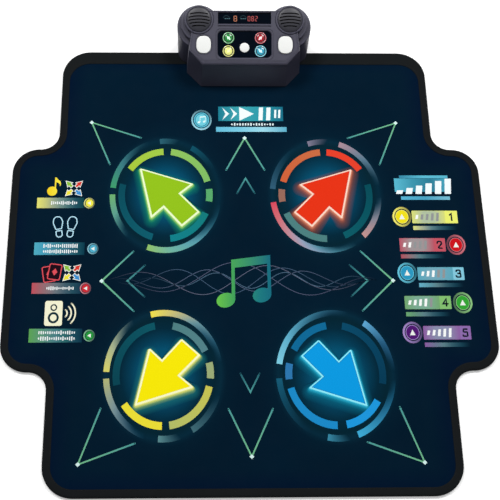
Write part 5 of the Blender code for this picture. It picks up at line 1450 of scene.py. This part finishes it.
def make_lenses(dark):
    """The arrow lights: a bright ring, a dark gap, and a domed lens with its arrow."""
    top = PANE_TOP + GAP
    profile = [(LIGHT_RADIUS + 0.0013, KEY_FLANGE - 0.0015), (LIGHT_RADIUS + 0.0013, KEY_FLANGE),
               (LIGHT_RADIUS, KEY_FLANGE), (LIGHT_RADIUS, top), (0.0108, top + 0.0003), (0.0098, top + 0.0003),
               (0.0095, top), (0.0095, top - 0.0003), (0.0076, top - 0.0003), (0.0076, top + 0.0001),
               (0.0072, top + 0.0003), (0.0036, top + 0.0006)]
    to_panel = PANEL.inverted()
    for x, y, name, turn, ring_code, lens_code, mark_code, glow in (
            (-LIGHT_X, LIGHT_HIGH, "green", 135, "8FD09A", "1F8A3C", "D8FFE0", 0.30),
            (LIGHT_X, LIGHT_HIGH, "red", 45, "D8747C", "A01424", "FFDCDC", 0.30),
            (-LIGHT_X, LIGHT_LOW, "yellow", 225, "E4E48C", "DCDE7C", "F8F8B4", 0.56),
            (LIGHT_X, LIGHT_LOW, "blue", -45, "8CD8E8", "2E9CB8", "D4F8FF", 0.35)):
        lens = panel_loft([(oval(x, y, radius, radius, 2.0, 64), depth) for radius, depth in profile])
        for face in lens.faces:
            local = to_panel @ face.calc_center_median()
            reach = math.hypot(local.x - x, local.y - y)
            face.material_index = 0 if reach > 0.0095 else 1 if reach > 0.0077 else 2
        finishes = [lit(f"{name}_light_ring", ring_code, 0.35), dark, lit(f"{name}_lens", lens_code, glow)]
        fitted(f"lens_{name}", lens, finishes, ROOT, f"lens_{name}", f"arrow_light_{name}", smooth=50)
        outline = turned(arrow_outline(0.0050), turn, x, y)
        fitted(f"lens_arrow_{name}", panel_loft([(outline, top + 0.0002), (outline, top + 0.0008)]),
               lit(f"{name}_mark", mark_code, 0.55), ROOT, f"lens_{name}", smooth=40)


# Each digit's lit segments: top, upper right, lower right, bottom, lower left, upper left, middle
DIGITS = {"0": "1111110", "2": "1101101", "8": "1111111"}
STROKE = 0.0013


def make_digits():
    """The lit digits of the display, seen through its window, and the faint signs beside them."""
    def lit_bars(name, bars, light):
        """A piece of thin lit bars just above the display's pane."""
        bm = bmesh.new()
        for bar in bars:
            layers = [[bm.verts.new(p) for p in panel_ring(box_outline(*bar), PANE_TOP + depth)]
                      for depth in (0.00005, 0.00015)]
            bm.faces.new(layers[1])
            bm.faces.new(layers[0][::-1])
            for i in range(4):
                bm.faces.new((layers[0][i - 1], layers[0][i], layers[1][i], layers[1][i - 1]))
        fitted(name, finish(bm), light, ROOT, "dark_window", smooth=20)

    for name, text, x, y, width, height, pitch, code, glow in (
            ("count_digit", "8", -0.0212, 0.0838, 0.0066, 0.0112, 0.0, "B87458", 0.42),
            ("score_digits", "082", 0.0062, 0.0842, 0.0052, 0.0104, 0.0072, "A84C4C", 0.38)):
        bars = []
        middle = y + height / 2
        upper, lower = (middle + 0.0003, y + height - 0.0006), (y + 0.0006, middle - 0.0003)
        for place, figure in enumerate(text):
            left = x + place * pitch
            right = left + width
            level = (left + STROKE, right - STROKE)
            segments = ((*level, y + height - STROKE, y + height), (right - STROKE, right, *upper),
                        (right - STROKE, right, *lower), (*level, y, y + STROKE), (left, left + STROKE, *lower),
                        (left, left + STROKE, *upper), (*level, middle - STROKE / 2, middle + STROKE / 2))
            bars += [segment for segment, on in zip(segments, DIGITS[figure]) if on == "1"]
        lit_bars(name, bars, lit(f"{name}_light", code, glow))
    dashes = [x + 0.0038 * i for x in (-0.0387, -0.0077) for i in range(3)]
    lit_bars("display_dashes", [(x, x + 0.0030, 0.0886, 0.0900) for x in dashes], lit("dash_light", "4C7078", 0.25))
    dots = [(x + 0.0062 * math.cos(math.radians(a)), 0.0886 + 0.0066 * math.sin(math.radians(a)))
            for x in (-0.0355, -0.0025) for a in range(20, 161, 14)]
    lit_bars("display_arcs", [(x - 0.0008, x + 0.0008, y - 0.0006, y + 0.0006) for x, y in dots],
             lit("arc_light", "14343C", 0.15))


# The room

def make_room():
    """A pale floor, soft light from above and the camera at the photograph's angle."""
    floor = make_piece("floor", block(-3.0, 3.0, -3.0, 3.0, -0.02, -0.0001), floor_paint())
    world = bpy.data.worlds.new("studio")
    world.use_nodes = True
    bpy.context.scene.world = world
    join(world.node_tree, world.node_tree.nodes["Background"], {"Color": linear("F4F6F8"), "Strength": 0.25})
    for name, x in (("left_box", -1.4), ("right_box", 1.4)):
        light = bpy.data.lights.new(name, "AREA")
        light.shape = "DISK"
        light.size = 1.4
        light.energy = 80.0
        lamp = linked(name, light)
        lamp.location = (x, 1.6, 3.6)
        lamp.rotation_euler = (-lamp.location).to_track_quat("-Z", "Y").to_euler()
    camera = bpy.data.cameras.new("camera")
    camera.sensor_width = 36.0
    camera.lens = 75.6
    camera.shift_x = 0.06
    camera.clip_end = 50.0
    viewer = linked("camera", camera)
    viewer.matrix_world = (Matrix.Translation((-0.10425, -0.74927, 1.81314)) @ Matrix.Rotation(-0.06639, 4, "Z")
                           @ Matrix.Rotation(0.3992, 4, "X") @ Matrix.Rotation(0.06008, 4, "Z"))
    bpy.context.scene.camera = viewer
    bpy.context.scene.view_settings.view_transform = "Standard"


def floor_paint():
    """Matt white paint, with the background brought up to white for the camera and for reflections."""
    material, tree, shader, place = start_material("matt_white_paint", 0.9)
    cloud = add(tree, "ShaderNodeTexNoise", {"Vector": place, "Scale": 2.0})
    colour = add(tree, "ShaderNodeMix", {"Factor": cloud, "A": linear("F4F4F3"), "B": linear("F9F9F8")},
                 data_type="RGBA")
    ray = add(tree, "ShaderNodeLightPath")
    seen = add(tree, "ShaderNodeMath", {0: ray.outputs["Is Camera Ray"], 1: ray.outputs["Is Glossy Ray"]},
               operation="MAXIMUM")
    seen = add(tree, "ShaderNodeMath", {0: seen, 1: ray.outputs["Is Transmission Ray"]}, operation="MAXIMUM")
    glow = add(tree, "ShaderNodeMath", {0: seen, 1: 0.35}, operation="MULTIPLY")
    join(tree, shader, {"Base Color": colour, "Emission Color": linear("FFFFFF"), "Emission Strength": glow})
    return material



# Under the mat

def make_foam(pads, foam_finish):
    """The foam between the films, with a shallow pocket under each pad and the hem bar's slot."""
    outline = mat_outline(LAYER_INSET, LAYER_INSET)
    slot = box_outline(BOX_X - 0.0705, BOX_X + 0.0705, 0.3845, 0.3975)
    pockets = [pad_outline(pad, 0.0007)[::2] for pad in pads.values()]
    foam = fitted("foam_core", plate(outline, FOAM_LOW, FOAM_HIGH, [slot], pockets, POCKET_FLOOR), foam_finish, ROOT,
                  "foam", "foam_layer", smooth=30)


def make_grip_sheet(backing, grip):
    """The non-slip sheet on the floor side, lifted a little at its edge, and its rows of rubber dots."""
    low, whole = mat_outline(0.0155, 0.0295), mat_outline(LAYER_INSET, LAYER_INSET)
    rings = [ring(line, z) for line, z in ((low, 0.0004), (low, 0.0011), (whole, 0.0011), (whole, 0.0020))]
    sheet = fitted("grip_sheet", loft(rings), backing, ROOT, "under_fabric", "base_sheet", smooth=30)

    def within(x, y, half_x, half_y, corner):
        """Whether a point lies inside a rectangle with round corners."""
        u, v = abs(x) - half_x + corner, abs(y) - half_y + corner
        return max(u, v) < corner and (min(u, v) <= 0 or math.hypot(u, v) <= corner)

    spots = []
    for row in range(-29, 30):
        for column in range(-30, 31):
            x, y = GRIP_PITCH * (column + row % 2 / 2), GRIP_PITCH * row
            in_end = y < 0.345 and within(x, y, END_WIDTH / 2 - GRIP_MARGIN, BACK_Y - GRIP_MARGIN, 0.034)
            if in_end or within(x, y, MAT_WIDTH / 2 - GRIP_MARGIN, LOBE_DEPTH / 2 - GRIP_MARGIN, 0.030):
                spots.append((x, y, 0.0004))
    sizes = {"Radius": 0.0021, "Height": 0.0004}
    dots = laid_balls("grip_dots", spots, (8, 4, 1.0), sizes, ("Radius", "Radius", "Height"), grip)
    stands_in(dots, ROOT, "under_fabric")
    area_of(whole)


# Fittings

def cross_screw(name, length, place, steel, dark_recess, body, slot_name, *replaced):
    """A pan head screw with a cross recess in its head, drawn with its head down."""
    profile = [(0.0022, 0.0), (0.0026, 0.0002), (0.0028, 0.0005), (0.0028, 0.0012), (0.0013, 0.0012)]
    threads = int((length - 0.0032) / 0.0009)
    for i in range(threads):
        z = 0.0016 + i * 0.0009
        profile += [(0.00105, z), (0.0013, z + 0.00045)]
    profile += [(0.00105, length - 0.0012), (0.0004, length)]
    screw = make_piece(name, lathe(profile, 24), [steel, dark_recess])
    bars = []
    for turn in (0, 90):
        bar = loft([ring(box_outline(-0.0014, 0.0014, -0.00028, 0.00028), -0.001),
                    ring(box_outline(-0.0010, 0.0010, -0.00020, 0.00020), 0.0007)])
        bars.append(placed(bar, Matrix.Rotation(math.radians(turn), 4, "Z")))
    combine(screw, "DIFFERENCE", bars)
    screw.data.transform(place)
    return stands_in(screw, body, slot_name, *replaced)


def make_screws(steel, dark):
    """The case screws, the hem screws and the battery door's screw."""
    for number, (x, y) in enumerate(CASE_SCREWS):
        under = (LOW_Z if number < 2 else 0.0) + GAP
        cross_screw(f"case_screw_{number + 1}_turned", 0.012, Matrix.Translation((BOX_X + x, y, under)), steel, dark,
                    ROOT, "screw_steel", f"case_screw_{number + 1}")
    for name, side in (("left", -1), ("right", 1)):
        place = Matrix.Translation((BOX_X + side * HEM_SCREW_X, HEM_SCREW_Y, HEM_SCREW_Z))
        cross_screw(f"hem_screw_{name}_turned", 0.014, place, steel, dark, ROOT, "screw_steel", f"hem_screw_{name}")
    place = (Matrix.Translation((BOX_X, REAR_Y + 0.0006, DOOR_SCREW_Z)) @ Matrix.Rotation(math.radians(90), 4, "X"))
    cross_screw("door_screw_turned", 0.0052, place, steel, dark, "door", "screw_steel", "door_screw")


def make_door(plastic):
    """The battery door: grip ribs across its face, laid by nodes, and a recess for its screw."""
    door = make_piece("ribbed_door", block(BOX_X - DOOR_HALF, BOX_X + DOOR_HALF, REAR_Y - DOOR_THICKNESS,
                                           REAR_Y - 0.0003, DOOR_LOW, DOOR_HIGH), plastic, 30)
    combine(door, "DIFFERENCE", [
        rear_rod(0.0, DOOR_SCREW_Z, 0.0016, REAR_Y - DOOR_THICKNESS - 0.001, REAR_Y + 0.001),
        rear_rod(0.0, DOOR_SCREW_Z, 0.0031, REAR_Y - 0.0009, REAR_Y + 0.001)])
    stands_in(door, "door", "case_black", "battery_door")

    spots = [(BOX_X, REAR_Y - 0.0003, DOOR_LOW + 0.008 + 0.0045 * i) for i in range(10)]
    sizes = {"Length": 0.038, "Width": 0.0018, "Rise": 0.0018}
    ribs = laid_balls("door_ribs", spots, (10, 6, 0.5), sizes, ("Length", "Rise", "Width"), plastic)
    stands_in(ribs, "door", "case_black")


def make_knob(plastic):
    """The power switch's slider, with three grip ridges."""
    off_x = BOX_X + SWITCH_X - 0.0020
    half = 0.00225
    tip = REAR_Y + 0.0014
    section = [(-half, REAR_Y - 0.0048), (half, REAR_Y - 0.0048), (half, tip - 0.0004)]
    for i in range(3):
        x = half - 0.0004 - i * 0.0014
        section += [(x, tip), (x - 0.0006, tip), (x - 0.0010, tip - 0.0005)]
    section[-1] = (-half, tip - 0.0004)
    rings = [[Vector((off_x + x, y, z)) for x, y in section] for z in (FITTING_Z - 0.0017, FITTING_Z + 0.0017)]
    fitted("switch_slider", loft(rings), plastic, "power_switch", "case_black", "power_switch_knob", smooth=30)


def make_marks(paint):
    """Plain moulded marks beside the switch: a line for on and a ring for off."""
    bar = block(BOX_X + SWITCH_X + 0.0068, BOX_X + SWITCH_X + 0.0074, REAR_Y - 0.0001, REAR_Y + 0.00025,
                FITTING_Z - 0.0014, FITTING_Z + 0.0014)
    fitted("switch_on_mark", bar, paint, ROOT, "case_grey")
    band = lathe([(0.0016, 0.0), (0.0016, 0.00035), (0.0011, 0.00035), (0.0011, 0.0)], 32, closed=True)
    place = towards_back(SWITCH_X - 0.0078, REAR_Y - 0.0001, FITTING_Z)
    fitted("switch_off_mark", placed(band, place), paint, ROOT, "case_grey")


# Finishes of what stays as it is

def board_finish():
    """Green solder mask over copper: darker where tracks run under it, with a hard gloss."""
    material, tree, shader, place = start_material("solder_mask", 0.35, Coat_Weight=0.3)
    tracks = add(tree, "ShaderNodeTexBrick", {"Vector": place, "Scale": 120.0, "Mortar Size": 0.06,
                                              "Color1": linear("0E5A34"), "Color2": linear("0A4A2A"),
                                              "Mortar": linear("1E7A48")})
    cloud = add(tree, "ShaderNodeTexNoise", {"Vector": place, "Scale": 40.0, "Detail": 3.0})
    colour = add(tree, "ShaderNodeMix", {"Factor": cloud, "A": tracks.outputs["Color"], "B": linear("0B4F2E")},
                 data_type="RGBA")
    join(tree, shader, {"Base Color": colour})
    return material


def wrapped(name, base, band, split_z, cell_z):
    """A cell's printed sleeve: one colour with a band of another at one end, and faint scuffs."""
    material, tree, shader, place = start_material(name, 0.28, Coat_Weight=0.4)
    height = add(tree, "ShaderNodeSeparateXYZ", {"Vector": place})
    end = add(tree, "ShaderNodeMath", {0: height.outputs["Z"], 1: cell_z + split_z}, operation="GREATER_THAN")
    colour = add(tree, "ShaderNodeMix", {"Factor": end, "A": linear(base), "B": linear(band)}, data_type="RGBA")
    scuff = add(tree, "ShaderNodeTexNoise", {"Vector": place, "Scale": 300.0, "Detail": 4.0})
    gloss = add(tree, "ShaderNodeMapRange", {"Value": scuff, "To Min": 0.22, "To Max": 0.40})
    join(tree, shader, {"Base Color": colour, "Roughness": gloss})
    return material


def dress(finish_of):
    """Gives each solid that stays its own finish."""
    for name, finish in finish_of.items():
        mesh = nodes[name].data
        mesh.materials.clear()
        mesh.materials.append(finish)
        smoothed(mesh, 30)


def dress_inside(dark, gloss):
    """Finishes for the panes, the films, the board, the drivers, the cells and their box."""
    film = moulded("clear_polyester_film", "9AA3A8", "A6AEB2", 0.22, grain=0.004, depth=0.00001)
    steel = moulded("nickel_plated_spring_steel", "B9B8B2", "A9A8A2", 0.24, grain=0.0006, depth=0.00001,
                    metallic=1.0)
    finish_of = {"button_overlay": gloss, "display_window": gloss,
                 "upper_contact_film": film, "lower_contact_film": film,
                 "film_tail": moulded("amber_polyimide", "C28A2A", "B07A20", 0.28, grain=0.003, depth=0.00001),
                 "main_board": board_finish(),
                 "display_module": moulded("display_block_plastic", "1A1B1D", "232426", 0.35),
                 "key_membrane": moulded("silicone_rubber", "8E8E90", "9A9A9C", 0.62, grain=0.0012),
                 "tail_socket": moulded("ivory_nylon", "E8E4D6", "DED9C8", 0.42),
                 "power_switch_body": moulded("zinc_switch_frame", "9A9B9C", "858688", 0.34, metallic=0.8),
                 "aux_socket": dark, "hem_bar": dark, "console_base": dark, "battery_box": dark}
    for side in ("left", "right"):
        finish_of[f"speaker_{side}"] = moulded(f"paper_cone_{side}", "17181A", "222326", 0.75, grain=0.0004,
                                               depth=0.00006)
    cell = wrapped("cell_sleeve", "1C6A46", "C8A24A", 0.036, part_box("battery_cell_1")[0][2])
    for number in range(1, 4):
        finish_of[f"battery_cell_{number}"] = cell
    for number in range(1, 5):
        finish_of[f"battery_contact_{number}"] = steel
    dress(finish_of)


def build():
    """Makes every piece and dresses every solid that stays."""
    vinyl = printed_vinyl()
    cloth = woven("nylon_binding_tape", "0F1214", "1D2123", 0.0016, 0.00012)
    thread = woven("bonded_nylon_thread", "161614", "2C2C2A", 0.0006, 0.00005, 0.6)
    plastic = moulded("textured_grey_abs", "3D3C4C", "474657", 0.48)
    grille = moulded("satin_grey_abs", "2A2A32", "34343D", 0.44)
    white = moulded("moulded_white_abs", "FCFDF9", "FEFFFC", 0.30, grain=0.001, depth=0.000002)
    dark = moulded("black_abs", "0C0C0F", "131317", 0.38)
    gloss = moulded("glossy_black_acrylic", "01060F", "030D1B", 0.09, grain=0.01, depth=0.0,
                    Specular_IOR_Level=0.10)
    steel = moulded("zinc_plated_steel", "B4B5B8", "9FA1A5", 0.30, grain=0.0005, depth=0.00002, metallic=1.0)
    backing = woven("knitted_polyester_backing", "26272B", "3A3B40", 0.0022, 0.00010)
    rubber = moulded("soft_rubber", "1B1C1E", "232427", 0.75, grain=0.0006)
    foam = moulded("open_cell_foam", "3E4046", "55575E", 0.9, grain=0.0012, depth=0.00025)
    pads = pad_table()
    make_sheet(pads, vinyl)
    make_pads(pads, vinyl)
    make_tape(cloth, thread)
    make_foam(pads, foam)
    make_grip_sheet(backing, rubber)
    for print_part in (print_targets, print_modes, print_levels, print_start, print_field):
        print_part(vinyl)
    make_cover(plastic)
    make_grilles(grille)
    make_keys(white)
    make_lenses(dark)
    make_digits()
    make_screws(steel, dark)
    make_door(plastic)
    make_knob(dark)
    make_marks(white)
    dress_inside(dark, gloss)
    make_room()


build()
